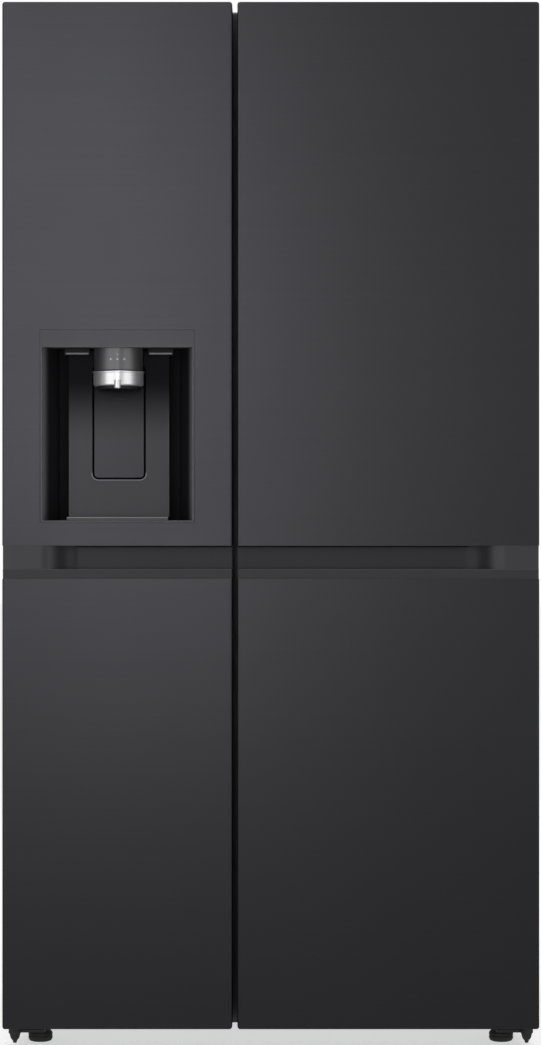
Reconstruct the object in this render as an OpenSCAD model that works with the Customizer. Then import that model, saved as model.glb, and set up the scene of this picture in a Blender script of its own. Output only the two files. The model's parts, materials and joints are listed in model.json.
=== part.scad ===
// Side-by-side refrigerator freezer with an ice and water dispenser in its freezer door.
// X runs to the right, Y to the back and Z up. The origin is on the floor, under the middle of the box.
// Lengths are in millimetres.

/* [Overall] */
// Width across both doors
overall_w = 913; // [760:1:1100]
// Height to the top of the hinge covers
overall_h = 1790; // [1490:1:2150]
// Depth from the door faces to the back
overall_d = 735; // [640:1:880]
// Depth of the rear spacers that keep the case off the wall
spacer_d = 6; // [4:0.5:12]
// Height of the case above the floor
ground_clear = 34; // [32:1:50]

/* [Doors] */
// Width of the freezer door
freezer_door_w = 391; // [325:1:470]
// Gap between the two doors
door_gap = 8.7; // [6:0.1:12]
// Thickness of a door from its face to its back plane
door_t = 105; // [98:1:126]
// Height of the doors' lower edge above the floor
door_bottom = 40.2; // [38:0.1:55]
// Radius of the bend along a door's vertical edges
door_edge_r = 3; // [2:0.5:5]
// Radius of a door's corners as seen from the front
door_corner_r = 5; // [3:0.5:8]
// Thickness of the doors' steel sheet
door_sheet = 1; // [0.8:0.1:1.5]
// Height of the moulded cap at the top and bottom of a door
cap_h = 20; // [18:1:30]
// Space between the doors and the case, which the gasket fills
gasket_gap = 10; // [8:0.5:14]

/* [Hinges] */
// Distance of the hinge axis from the door's outer side
hinge_inset = 16; // [15:0.5:24]
// Distance of the hinge axis in front of the door's back plane
hinge_setback = 32; // [26:1:36]
// Radius of the hinge pins
pin_r = 6; // [5:0.5:8]
// Radial play of a pin in its bush
pin_play = 0.08; // [0.02:0.01:0.1]

/* [Handle strip] */
// Height of the strip's lower edge above the doors' lower edge
strip_up = 765.1; // [700:0.1:840]
// Height of the grip lip at the bottom of the strip
lip_h = 17; // [12:0.5:24]
// How far the grip lip slopes back towards its lower edge
lip_lean = 3; // [0:0.5:5]
// Height of the finger recess above the lip
recess_h = 39.9; // [34:0.1:50]
// Depth of the finger recess
recess_d = 30; // [22:1:36]
// Plain length of the strip beside the freezer door's recess
freezer_land = 66; // [50:1:90]
// Plain length of the strip beside the fridge door's recess
fridge_land = 58; // [40:1:90]

/* [Dispenser] */
// Width of the dispenser's opening
disp_w = 255.2; // [220:0.1:270]
// Height of the dispenser's opening
disp_h = 294.8; // [250:0.1:340]
// Height of the opening's lower edge above the doors' lower edge
disp_up = 864.5; // [850:0.1:900]
// Depth of the dispenser's recess
disp_d = 92; // [85:1:93]
// Height of the control strip above the opening
control_h = 29.7; // [24:0.1:40]
// Width of the raised plate at the back of the recess
backplate_w = 172.8; // [150:0.1:190]
// Width of the dispenser's paddle
paddle_w = 85; // [70:1:95]
// Radius of the round dispenser head
head_r = 42; // [36:0.5:44]

/* [Case] */
// Foam wall beside the freezer
freezer_wall = 55; // [45:1:70]
// Foam wall beside the fridge
fridge_wall = 50; // [45:1:70]
// Thickness of the wall between freezer and fridge
mullion_t = 56; // [52:1:70]
// Thickness of the top wall
top_wall = 72; // [66:1:90]
// Thickness of the bottom wall
floor_wall = 80; // [74:1:95]
// Thickness of the back wall
back_wall = 60; // [45:1:70]
// Height of the machine compartment
machine_h = 215; // [190:1:240]
// Depth of the machine compartment
machine_d = 200; // [185:1:220]

/* [Interior] */
// Number of glass shelves in the fridge
fridge_shelf_count = 3; // [2:1:4]
// Number of shelves above the freezer's drawers
freezer_shelf_count = 4; // [2:1:5]
// Number of bins on the fridge door
fridge_bin_count = 4; // [2:1:5]
// Height of a drawer
drawer_h = 165; // [120:1:170]
// How far a bin reaches behind the door's back plane
bin_reach = 90; // [70:1:95]
// Height of a door bin
bin_h = 110; // [80:1:120]

/* [Feet and rollers] */
// Radius of a levelling foot
foot_r = 21; // [18:0.5:26]
// Height of a foot's pad
foot_h = 20; // [16:0.5:21]
// Radius of a rear roller
roller_r = 22; // [18:0.5:26]

/* [Water] */
// Radius of the water inlet's thread
inlet_r = 13.2; // [12:0.1:14]

/* [Hidden] */
$fn = 64;

// Overlap that lets a cut run past a face
past = 1;
// Space between a moving piece and its neighbour
clear = 0.3;

// Depths, from the door faces to the back
face_y = -overall_d / 2;
back_y = overall_d / 2;
door_back_y = face_y + door_t;
case_front_y = door_back_y + gasket_gap;
case_back_y = back_y - spacer_d;
axis_y = door_back_y - hinge_setback;

// Heights
cover_h = 22;
door_drop = 4;
case_top = overall_h - cover_h;
door_top = overall_h - door_drop;
cavity_z = [ground_clear + floor_wall, case_top - top_wall];
strip_z = [door_bottom + strip_up, door_bottom + strip_up + lip_h + recess_h];
lip_top = strip_z[0] + lip_h;

// Widths, as pairs from left to right
case_inset = 2.5;
case_x = [-overall_w / 2 + case_inset, overall_w / 2 - case_inset];
freezer_x = [-overall_w / 2, -overall_w / 2 + freezer_door_w];
fridge_x = [freezer_x[1] + door_gap, overall_w / 2];
mullion_x = (freezer_x[1] + fridge_x[0]) / 2;
freezer_cavity_x = [case_x[0] + freezer_wall, mullion_x - mullion_t / 2];
fridge_cavity_x = [mullion_x + mullion_t / 2, case_x[1] - fridge_wall];
left_axis_x = freezer_x[0] + hinge_inset;
right_axis_x = fridge_x[1] - hinge_inset;

// Sheets and liners
case_sheet = 1;
base_sheet = 1.2;
tray_sheet = 3;
liner_t = 2;
frame_back_y = case_front_y + case_sheet;
foam_back_y = case_back_y - case_sheet;

// Machine compartment at the bottom of the back
machine_y = foam_back_y - machine_d;
machine_top = ground_clear + machine_h;
tray_top = ground_clear + tray_sheet;
step_y = machine_y - 50;
step_z = machine_top + 45;
cavity_back_y = case_back_y - back_wall;
vent_pitch = 14;
vent_h = 5;

// Door liner
door_liner_t = 2;
panel_back_y = door_back_y - door_liner_t;
gasket_w = 16;
gasket_play = 0.3;
gasket_outer_inset = 24;
gasket_inner_inset = 5;
gasket_rise = 57;
dike_h = 40;
dike_t = 22;
dike_play = 6;
swing_gap = 3;
axis_to_case = case_front_y - axis_y;
dike_z = [cavity_z[0] + dike_play, cavity_z[1] - dike_play];

// Furthest distance from a hinge axis at which a piece that lies depth behind the axis
// still swings out past a cavity wall that is wall away from the axis
function swing_reach(wall, depth) =
  sqrt(pow(wall - swing_gap, 2) + pow(axis_to_case, 2) - pow(depth, 2));

dike_depth = hinge_setback + dike_h;
freezer_dike_x = [
  freezer_cavity_x[0] + dike_play,
  left_axis_x + swing_reach(freezer_cavity_x[1] - left_axis_x, dike_depth)
];
fridge_dike_x = [
  right_axis_x - swing_reach(right_axis_x - fridge_cavity_x[0], dike_depth),
  fridge_cavity_x[1] - dike_play
];

// Drawers, shelves and bins
drawer_wall = 3;
drawer_side_gap = 8;
drawer_floor_gap = 4;
drawer_gap = 15;
drawer_front_y = door_back_y + 122.5;
drawer_z = [
  cavity_z[0] + drawer_floor_gap,
  max(cavity_z[0] + drawer_floor_gap + drawer_h + drawer_gap, step_z + drawer_floor_gap)
];
shelf_base_z = drawer_z[1] + drawer_h + drawer_floor_gap;
shelf_t = 5;
shelf_trim_h = 16;
shelf_trim_t = 12;
shelf_side_gap = 3;
shelf_front_y = door_back_y + bin_reach + 12;
shelf_back_gap = 8;
rib_w = 6;
rib_h = 8;
rib_end_gap = 30;
cover_t = 3;
evaporator_depth = 62;
evaporator_cover_y = cavity_back_y - evaporator_depth;
bin_wall = 2.5;
duct_t = 12;
duct_w = 150;
fridge_shelf_pitch = (cavity_z[1] - shelf_base_z) / (fridge_shelf_count + 1);
freezer_shelf_pitch = (cavity_z[1] - shelf_base_z) / freezer_shelf_count;
fridge_bin_pitch = (dike_z[1] - dike_t - shelf_base_z) / fridge_bin_count;
freezer_bin_z = [
  for (i = [0:1]) shelf_base_z + 20 + i * (door_bottom + disp_up - shelf_base_z - 20) / 2
];

// Dispenser
disp_x = (freezer_x[0] + freezer_x[1]) / 2;
disp_z = [door_bottom + disp_up, door_bottom + disp_up + disp_h];
bezel_side = 4.15;
bezel_bottom = 3;
bezel_t = 3;
bezel_x = [disp_x - disp_w / 2 - bezel_side, disp_x + disp_w / 2 + bezel_side];
bezel_z = [disp_z[0] - bezel_bottom, disp_z[1] + control_h];
housing_t = 3;
housing_back_y = face_y + disp_d;
backplate_y = face_y + 68;
backplate_z = [disp_z[0] + 6.3, disp_z[1] - 2.5];
head_y = face_y + 50;
head_z = disp_z[1] - 39.7;
chute_r = head_r - 6;
chute_bore_r = head_r - 14;
chute_z = head_z - 33;
ring_r = head_r + 1;
ring_flange_r = head_r + 2.6;
ring_z = [head_z - 25.3, head_z];
ring_flange_h = 2.8;
head_back_y = backplate_y - 2;
nozzle_r = 6;
nozzle_bore_r = 3;
nozzle_y = head_y - head_r + 1;
nozzle_z = [chute_z, chute_z + 17.4];
paddle_gap = 3.5;
paddle_t = 4;
paddle_z = [disp_z[0] + 73.8, head_z - 6.8];
paddle_corner_r = 6.5;
axle_r = 3;
axle_play = 0.08;
axle_y = backplate_y + 3.5;
axle_z = paddle_z[1] - 6;
ear_w = 6;
ear_x = paddle_w / 2 + paddle_gap + ear_w / 2;
tray_w = backplate_w - 1;
tray_h = 5.6;
tray_y = [face_y + 4, backplate_y - 1];
duct_hole = 60;
bulge_t = 30;
bulge_margin = 14;
ice_reach = 95;
ice_z = [bezel_z[1] + 18, dike_z[1] - dike_t - 12];

// Handle strip
strip_inset = 1;
strip_setback = 0.8;
lip_t = 6;
undercut = 10;
handle_depth = recess_d + 12;
cheek = 3;
recess_fillet = 12;
recess_end_r = recess_d + 1;

// Hinges and feet
hinge_plate_t = 4;
hinge_nose_r = 12;
hinge_arm_w = 55;
hinge_arm_back = 90;
notch_h = 9;
notch_front = 20;
pin_in_door = cap_h - 2;
bracket_z = [ground_clear - 11, ground_clear - 6];
bracket_x_in = 51.5;
bracket_x_out = 11;
bracket_back = 75;
foot_x_in = 40;
foot_y = case_front_y + 15;
stem_r = 6;
stem_top = ground_clear + 39;
stem_play = 0.1;
foot_bore_r = stem_r + 2;
cover_wall = 2;
switch_cover_w = 170;
switch_cover_d = 74;

// Rollers
roller_w = 22;
roller_x = [case_x[0] + 60, case_x[1] - 60];
roller_y = back_y - 60;
roller_axle_r = 4;
roller_play = 0.1;
ear_gap = 2;
ear_t = 3;

// ---------- shared shapes ----------

// A block from three pairs of limits
module block(x, y, z)
  translate([x[0], y[0], z[0]]) cube([x[1] - x[0], y[1] - y[0], z[1] - z[0]]);

// A flat outline in X and Z, drawn out along Y
module along_y(y) translate([0, y[1], 0]) rotate([90, 0, 0]) linear_extrude(y[1] - y[0]) children();

// A flat outline in Y and Z, drawn out along X
module along_x(x) translate([x[0], 0, 0]) rotate([90, 0, 90]) linear_extrude(x[1] - x[0]) children();

// A flat outline in X and Y, drawn out along Z
module along_z(z) translate([0, 0, z[0]]) linear_extrude(z[1] - z[0]) children();

module rect(x, y) translate([x[0], y[0]]) square([x[1] - x[0], y[1] - y[0]]);

// A rectangle with four round corners
module round_rect(x, y, r) {
  rect([x[0] + r, x[1] - r], y);
  rect(x, [y[0] + r, y[1] - r]);
  for (cx = [x[0] + r, x[1] - r], cy = [y[0] + r, y[1] - r])
    translate([cx, cy]) circle(r);
}

// A rectangle whose two corners at low Y are round
module front_round_rect(x, y, r) {
  rect([x[0] + r, x[1] - r], y);
  rect(x, [y[0] + r, y[1]]);
  for (cx = [x[0] + r, x[1] - r])
    translate([cx, y[0] + r]) circle(r);
}

// A flat ring between an outer rectangle and the same rectangle taken in by t
module rect_ring(x, y, t) difference() {
  rect(x, y);
  rect([x[0] + t, x[1] - t], [y[0] + t, y[1] - t]);
}

// An open-topped box with walls of thickness t
module open_box(x, y, z, t) difference() {
  block(x, y, z);
  block([x[0] + t, x[1] - t], [y[0] + t, y[1] - t], [z[0] + t, z[1] + past]);
}

module mirror_x(flip) {
  if (flip) mirror([1, 0, 0]) children();
  else children();
}

// ---------- case ----------

module side_panel(left) color([0.16, 0.16, 0.17])
  block(left ? [case_x[0], case_x[0] + case_sheet] : [case_x[1] - case_sheet, case_x[1]],
        [frame_back_y, case_back_y], [ground_clear, case_top]);

module top_panel() color([0.16, 0.16, 0.17])
  block([case_x[0] + case_sheet, case_x[1] - case_sheet], [frame_back_y, case_back_y],
        [case_top - case_sheet, case_top]);

module back_panel() color([0.62, 0.63, 0.64])
  block([case_x[0] + case_sheet, case_x[1] - case_sheet], [foam_back_y, case_back_y],
        [machine_top + base_sheet, case_top - case_sheet]);

// The bent bottom plate, and the tray that carries the compressor and the rollers
module base_plate() color([0.55, 0.56, 0.58]) {
  inner_x = [case_x[0] + case_sheet, case_x[1] - case_sheet];
  difference() {
    along_x(inner_x) {
      rect([frame_back_y, machine_y], [ground_clear, ground_clear + base_sheet]);
      rect([machine_y - base_sheet, machine_y], [ground_clear, machine_top + base_sheet]);
      rect([machine_y - base_sheet, foam_back_y], [machine_top, machine_top + base_sheet]);
    }
    for (side = [0, 1]) foot_bore(side);
  }
  difference() {
    block(inner_x, [machine_y, foam_back_y], [ground_clear, tray_top]);
    for (x = roller_x)
      block([x - roller_w / 2 - ear_gap, x + roller_w / 2 + ear_gap],
            [roller_y - roller_r - ear_gap, roller_y + roller_r + ear_gap],
            [ground_clear - past, tray_top + past]);
  }
  for (x = roller_x, s = [-1, 1])
    translate([x + s * (roller_w / 2 + ear_gap + ear_t / 2), roller_y, roller_r])
      difference() {
        block([-ear_t / 2, ear_t / 2], [-12, 12], [-9, ground_clear - roller_r]);
        rotate([0, 90, 0]) cylinder(h = ear_t + 2 * past, r = roller_axle_r + roller_play, center = true);
      }
}

function foot_x(side) = side == 0 ? left_axis_x + foot_x_in : right_axis_x - foot_x_in;

// Room for a foot's stem in the base plate and the foam
module foot_bore(side)
  translate([foot_x(side), foot_y, ground_clear - past])
    cylinder(h = stem_top - ground_clear + 2 * past, r = foot_bore_r);

// The cavity's outline in Y and Z, grown by t: its floor steps up over the machine compartment
module cavity_outline(t, front_y) polygon([
  [front_y, cavity_z[0] - t], [step_y + t, cavity_z[0] - t], [step_y + t, step_z - t],
  [cavity_back_y + t, step_z - t], [cavity_back_y + t, cavity_z[1] + t], [front_y, cavity_z[1] + t]
]);

module liner(x, shelf_heights, shelf_back) color([0.9, 0.91, 0.92]) {
  difference() {
    along_x([x[0] - liner_t, x[1] + liner_t]) cavity_outline(liner_t, frame_back_y);
    along_x(x) cavity_outline(0, frame_back_y - past);
  }
  for (z = shelf_heights, side = [[x[0], x[0] + rib_w], [x[1] - rib_w, x[1]]])
    block(side, [shelf_front_y + rib_end_gap, shelf_back - rib_end_gap], [z - rib_h, z]);
}

module freezer_liner()
  liner(freezer_cavity_x, [for (i = [0:freezer_shelf_count - 1]) freezer_shelf_z(i)], evaporator_cover_y);

module fridge_liner()
  liner(fridge_cavity_x,
        [shelf_base_z, for (i = [1:fridge_shelf_count]) fridge_shelf_z(i)], cavity_back_y - duct_t);

module cabinet_foam() color([0.93, 0.87, 0.68]) difference() {
  block([case_x[0] + case_sheet, case_x[1] - case_sheet], [frame_back_y, foam_back_y],
        [ground_clear + base_sheet, case_top - case_sheet]);
  for (x = [freezer_cavity_x, fridge_cavity_x])
    along_x([x[0] - liner_t, x[1] + liner_t]) cavity_outline(liner_t, frame_back_y - past);
  block([case_x[0] - past, case_x[1] + past], [machine_y - base_sheet, back_y],
        [ground_clear, machine_top + base_sheet]);
  for (side = [0, 1]) foot_bore(side);
}

module front_frame() color([0.2, 0.2, 0.21]) along_y([case_front_y, frame_back_y]) difference() {
  rect(case_x, [ground_clear, case_top]);
  rect(freezer_cavity_x, cavity_z);
  rect(fridge_cavity_x, cavity_z);
}

// ---------- hinges, feet and rollers ----------

// Top hinge of the left door: a plate on the case with a pin that hangs into the door's cap
module top_hinge(flip) color([0.5, 0.5, 0.52]) mirror_x(flip) {
  plate_z = [door_top - notch_h + 1.5, door_top - notch_h + 1.5 + hinge_plate_t];
  arm_x = [left_axis_x - 6, left_axis_x + hinge_arm_w];
  translate([left_axis_x, axis_y, 0]) {
    translate([0, 0, plate_z[0]]) cylinder(h = hinge_plate_t, r = hinge_nose_r);
    translate([0, 0, door_top - pin_in_door])
      cylinder(h = plate_z[0] - door_top + pin_in_door + 1, r = pin_r);
  }
  block(arm_x, [axis_y, case_front_y + hinge_arm_back], plate_z);
  block(arm_x, [case_front_y + 4, case_front_y + hinge_arm_back], [case_top, plate_z[1] - 1]);
}

// Side of a moulded cover that stands on the case, with a sloped front and back
module cover_side(front, rear) polygon([
  [front, case_top], [front, overall_h - 6], [front + 24, overall_h],
  [rear - 10, overall_h], [rear, overall_h - 8], [rear, case_top]
]);

// Moulded covers over both top hinges, and the one over the lamp switches between the doors
module top_covers() color([0.08, 0.08, 0.09]) {
  front = case_front_y + 4;
  for (flip = [false, true]) mirror_x(flip) difference() {
    along_x([case_x[0] + 0.5, left_axis_x + hinge_arm_w + 14])
      cover_side(front, front + hinge_arm_back + 20);
    block([left_axis_x - 7, left_axis_x + hinge_arm_w + 1], [front - past, front + hinge_arm_back + 1],
          [case_top - past, door_top - notch_h + hinge_plate_t + 2]);
  }
  difference() {
    along_x([mullion_x - switch_cover_w / 2, mullion_x + switch_cover_w / 2])
      cover_side(case_front_y, case_front_y + switch_cover_d);
    block([mullion_x - switch_cover_w / 2 + cover_wall, mullion_x + switch_cover_w / 2 - cover_wall],
          [case_front_y + cover_wall, case_front_y + switch_cover_d - 12],
          [case_top - past, overall_h - 8]);
  }
}

// Bottom hinge of the left door: a bracket under the case, a pin up into the door's cap,
// a washer under the door and a tapered nut that sets the door's height
module bottom_hinge(flip) color([0.07, 0.07, 0.08]) mirror_x(flip) {
  x = [left_axis_x - bracket_x_out, left_axis_x + bracket_x_in];
  difference() {
    union() {
      block(x, [axis_y, case_front_y + bracket_back], bracket_z);
      block(x, [frame_back_y + 3, case_front_y + bracket_back], [bracket_z[1] - past, ground_clear]);
      translate([left_axis_x, axis_y, bracket_z[0]])
        cylinder(h = bracket_z[1] - bracket_z[0], r = bracket_x_out);
    }
    translate([left_axis_x + foot_x_in, foot_y, bracket_z[0] - past])
      cylinder(h = ground_clear - bracket_z[0] + 2 * past, r = stem_r + stem_play);
  }
  translate([left_axis_x, axis_y, 0]) {
    translate([0, 0, bracket_z[1] - past])
      cylinder(h = door_bottom + pin_in_door - bracket_z[1] + past, r = pin_r);
    translate([0, 0, bracket_z[1] - past]) cylinder(h = door_bottom - bracket_z[1] + past - 0.2, r = 10.5);
    rotate_extrude() polygon([
      [0, 5.8], [3, 5.8], [3.6, 9], [7.6, 14.5], [8.6, 19],
      [10.5, bracket_z[0] + past], [0, bracket_z[0] + past]
    ]);
  }
}

// Levelling foot: a round pad with rounded edges on a threaded stem
module foot(side) color([0.06, 0.06, 0.07]) translate([foot_x(side), foot_y, 0]) {
  edge = 6;
  rotate_extrude() {
    rect([0, foot_r - edge], [0, foot_h]);
    rect([0, foot_r], [edge, foot_h - 3]);
    translate([foot_r - edge, edge]) circle(edge);
    translate([foot_r - 3, foot_h - 3]) circle(3);
    rect([0, foot_r - 3], [edge, foot_h]);
  }
  translate([0, 0, foot_h - past]) cylinder(h = stem_top - 20 - foot_h + past, r = stem_r);
}

module rear_roller(side) color([0.12, 0.12, 0.13]) translate([roller_x[side], roller_y, roller_r])
  rotate([0, 90, 0]) difference() {
    cylinder(h = roller_w, r = roller_r, center = true);
    cylinder(h = roller_w + 2 * past, r = roller_axle_r + roller_play, center = true);
  }

module rear_axles() color([0.7, 0.7, 0.72]) for (x = roller_x)
  translate([x, roller_y, roller_r]) rotate([0, 90, 0])
    cylinder(h = roller_w + 2 * (ear_gap + ear_t + 1), r = roller_axle_r, center = true);

// ---------- machine compartment ----------

valve_x = case_x[1] - 75;
valve_z = ground_clear + 130;
compressor_x = case_x[0] + 190;
fan_x = mullion_x + 60;
machine_mid_y = (machine_y + foam_back_y) / 2;
machine_mid_z = (tray_top + machine_top) / 2;
fan_r = 74;
collar_l = 8;
collar_bore_r = 6;
spacer_w = 16;
valve_window = 32;

// Rear cover with air slots, a cut-out for the water inlet, a collar for the mains cord and two spacers
module machine_cover() color([0.1, 0.1, 0.11]) {
  cover_z = [tray_top, machine_top];
  inner_x = [case_x[0] + case_sheet, case_x[1] - case_sheet];
  cord_at = [case_x[0] + 60, ground_clear + 60];
  difference() {
    union() {
      along_y([foam_back_y, case_back_y]) rect(inner_x, cover_z);
      translate([cord_at[0], case_back_y - collar_l / 2, cord_at[1]]) rotate([-90, 0, 0])
        cylinder(h = collar_l, r = 2 * collar_bore_r);
      for (x = [inner_x[0] + 20, inner_x[1] - 20])
        block([x - spacer_w / 2, x + spacer_w / 2], [foam_back_y, back_y],
              [cover_z[1] - 50, cover_z[1] - 10]);
    }
    translate([cord_at[0], case_back_y - collar_l / 2 - past, cord_at[1]]) rotate([-90, 0, 0])
      cylinder(h = collar_l + 2 * past, r = collar_bore_r);
    block([valve_x - valve_window, valve_x + valve_window], [foam_back_y - past, case_back_y + past],
          [valve_z - valve_window, valve_z + valve_window]);
    for (x0 = [case_x[0] + 110, fan_x + 50], i = [0:8])
      block([x0, x0 + 230], [foam_back_y - past, case_back_y + past],
            [tray_top + 45 + i * vent_pitch, tray_top + 45 + i * vent_pitch + vent_h]);
  }
}

// Sealed compressor on its foot plate and four rubber mounts, with its relay box
module compressor() color([0.05, 0.05, 0.06]) translate([compressor_x, machine_mid_y, tray_top]) {
  for (x = [-85, 85], y = [-60, 60]) translate([x, y, 0]) cylinder(h = 11, r = 9);
  shell_r = 74;
  shell_h = 150;
  shell_edge_r = 24;
  block([-100, 100], [-72, 72], [10, 13]);
  translate([0, 0, 12]) rotate_extrude() {
    rect([0, shell_r - shell_edge_r], [0, shell_h]);
    rect([0, shell_r], [shell_edge_r, shell_h - shell_edge_r]);
    for (z = [shell_edge_r, shell_h - shell_edge_r])
      translate([shell_r - shell_edge_r, z]) circle(shell_edge_r);
  }
  block([66, 104], [-26, 26], [70, 130]);
}

// A heat exchanger: thin fins on straight tubes that run along X
fin_t = 1.5;
tube_past = 8;
module fin_stack(x, y, z, fins, tube_r, rows, columns) {
  pitch = (x[1] - x[0]) / fins;
  row_pitch = (z[1] - z[0]) / rows;
  column_pitch = (y[1] - y[0]) / columns;
  for (i = [0:fins - 1]) block([x[0] + i * pitch, x[0] + i * pitch + fin_t], y, z);
  for (r = [0:rows - 1], c = [0:columns - 1])
    translate([x[0] - tube_past, y[0] + (c + 0.5) * column_pitch, z[0] + (r + 0.5) * row_pitch])
      rotate([0, 90, 0]) cylinder(h = x[1] - x[0] + 2 * tube_past, r = tube_r);
}

module condenser() color([0.1, 0.1, 0.1])
  fin_stack([fan_x + 60, fan_x + 240], [machine_mid_y - 60, machine_mid_y + 60],
            [tray_top + 10, tray_top + 150], 15, 3.5, 4, 3);

module condenser_fan() color([0.15, 0.15, 0.16]) translate([fan_x, machine_mid_y, machine_mid_z]) {
  rotate([0, 90, 0]) difference() {
    cylinder(h = 24, r = 20, center = true);
    cylinder(h = 26, r = 3 + axle_play, center = true);
  }
  for (a = [0:72:359]) rotate([a, 0, 0]) translate([0, 0, 18]) rotate([0, 0, 28])
    block([-1.2, 1.2], [-19, 19], [0, fan_r - 20]);
}

module fan_motor() color([0.3, 0.3, 0.32]) translate([fan_x, machine_mid_y, machine_mid_z]) {
  translate([-70, 0, 0]) rotate([0, 90, 0]) cylinder(h = 52, r = 24);
  translate([-20, 0, 0]) rotate([0, 90, 0]) cylinder(h = 38, r = 3);
  block([-64, -52], [-16, 16], [tray_top - machine_mid_z, -20]);
}

// Water valve: a body on a bracket, with the threaded inlet facing back
module water_valve() color([0.85, 0.85, 0.86]) {
  inlet_end_y = back_y - 1;
  thread_l = 14;
  translate([valve_x, 0, valve_z]) rotate([-90, 0, 0]) difference() {
    union() {
      translate([0, 0, inlet_end_y - thread_l]) cylinder(h = thread_l, r = inlet_r);
      translate([0, 0, inlet_end_y - thread_l - 26]) cylinder(h = 27, r = inlet_r + 4);
    }
    translate([0, 0, inlet_end_y - thread_l]) cylinder(h = thread_l + past, r = 8);
  }
  block([valve_x - 22, valve_x + 22], [inlet_end_y - 90, inlet_end_y - 39], [valve_z - 24, valve_z + 24]);
  block([valve_x + 10, case_x[1] - case_sheet], [inlet_end_y - 80, inlet_end_y - 77],
        [valve_z - 20, valve_z + 20]);
}

// ---------- freezer and fridge interiors ----------

function fridge_shelf_z(i) = shelf_base_z + i * fridge_shelf_pitch;
function freezer_shelf_z(i) = shelf_base_z + i * freezer_shelf_pitch;

module evaporator() color([0.75, 0.76, 0.78])
  fin_stack([freezer_cavity_x[0] + 30, freezer_cavity_x[1] - 30],
            [evaporator_cover_y + 8, cavity_back_y - 4], [shelf_base_z + 40, shelf_base_z + 300],
            16, 4, 6, 2);

// Duct cover in front of the evaporator, with three air slots above each shelf
module evaporator_cover() color([0.9, 0.91, 0.92]) {
  z = [step_z + 2, cavity_z[1] - 2];
  slot_w = freezer_cavity_x[1] - freezer_cavity_x[0] - 120;
  mid_x = (freezer_cavity_x[0] + freezer_cavity_x[1]) / 2;
  along_y([evaporator_cover_y, evaporator_cover_y + cover_t]) difference() {
    rect([freezer_cavity_x[0], freezer_cavity_x[1]], z);
    for (i = [0:freezer_shelf_count - 1], k = [0:2])
      rect([mid_x - slot_w / 2, mid_x + slot_w / 2],
           [freezer_shelf_z(i) + 150 + k * 12, freezer_shelf_z(i) + 156 + k * 12]);
  }
}

// A shelf: a plate with a deeper trim along its front edge
module shelf(x, y, z) {
  block([x[0] + shelf_side_gap, x[1] - shelf_side_gap], y, [z, z + shelf_t]);
  block([x[0] + rib_w + 1, x[1] - rib_w - 1], [y[0], y[0] + shelf_trim_t],
        [z + shelf_t - shelf_trim_h, z + shelf_t]);
}

module freezer_shelves() color([0.8, 0.87, 0.9]) for (i = [0:freezer_shelf_count - 1])
  shelf(freezer_cavity_x, [shelf_front_y, evaporator_cover_y - shelf_back_gap], freezer_shelf_z(i));

module fridge_shelves() color([0.8, 0.87, 0.9]) for (i = [1:fridge_shelf_count])
  shelf(fridge_cavity_x, [shelf_front_y, cavity_back_y - duct_t - shelf_back_gap], fridge_shelf_z(i));

module crisper_cover() color([0.8, 0.87, 0.9])
  shelf(fridge_cavity_x, [shelf_front_y, cavity_back_y - duct_t - shelf_back_gap], shelf_base_z);

// A drawer with a thicker front and a grip ledge across it
module drawer(x, back, level) color([0.82, 0.87, 0.9]) {
  outer_x = [x[0] + drawer_side_gap, x[1] - drawer_side_gap];
  z = [drawer_z[level], drawer_z[level] + drawer_h - 8];
  difference() {
    block(outer_x, [drawer_front_y, back], z);
    block([outer_x[0] + drawer_wall, outer_x[1] - drawer_wall],
          [drawer_front_y + 2 * drawer_wall, back - drawer_wall], [z[0] + drawer_wall, z[1] + past]);
  }
  block([outer_x[0] + 20, outer_x[1] - 20], [drawer_front_y - 10, drawer_front_y + 1],
        [z[1] - 22, z[1] - 17]);
}

drawer_back_lower = step_y - 8;
freezer_drawer_back = evaporator_cover_y - 8;
crisper_back = cavity_back_y - duct_t - 8;

module air_duct() color([0.92, 0.93, 0.94]) {
  mid_x = (fridge_cavity_x[0] + fridge_cavity_x[1]) / 2;
  z = [shelf_base_z + 30, cavity_z[1] - 10];
  difference() {
    block([mid_x - duct_w / 2, mid_x + duct_w / 2], [cavity_back_y - duct_t, cavity_back_y], z);
    for (i = [0:fridge_shelf_count], s = [-1, 1])
      block([mid_x + s * 45 - 22, mid_x + s * 45 + 22], [cavity_back_y - duct_t - past, cavity_back_y - 4],
            [fridge_shelf_z(i) + 110, fridge_shelf_z(i) + 122]);
  }
}

// ---------- doors ----------

// The door's outline as seen from the front, taken in by t
module door_outline(x, t)
  round_rect([x[0] + t, x[1] - t], [door_bottom + t, door_top - t], door_corner_r - t);

// Room in the top of the left door's hinge corner, so that the hinge arm lies below the door's top
module hinge_notch(flip) mirror_x(flip)
  block([freezer_x[0] - past, left_axis_x + hinge_arm_w + 4], [axis_y - notch_front, door_back_y + past],
        [door_top - notch_h, door_top + past]);

// A steel face folded back along both sides, between two heights
module door_panel(x, z) color([0.27, 0.27, 0.29]) intersection() {
  along_z(z) difference() {
    front_round_rect(x, [face_y, panel_back_y], door_edge_r);
    front_round_rect([x[0] + door_sheet, x[1] - door_sheet], [face_y + door_sheet, panel_back_y + past],
                     door_edge_r - door_sheet);
  }
  along_y([face_y - past, panel_back_y + past]) door_outline(x, 0);
}

module upper_panel(x) color([0.27, 0.27, 0.29]) difference() {
  door_panel(x, [strip_z[1], door_top]);
  hinge_notch(x == fridge_x);
}

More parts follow.
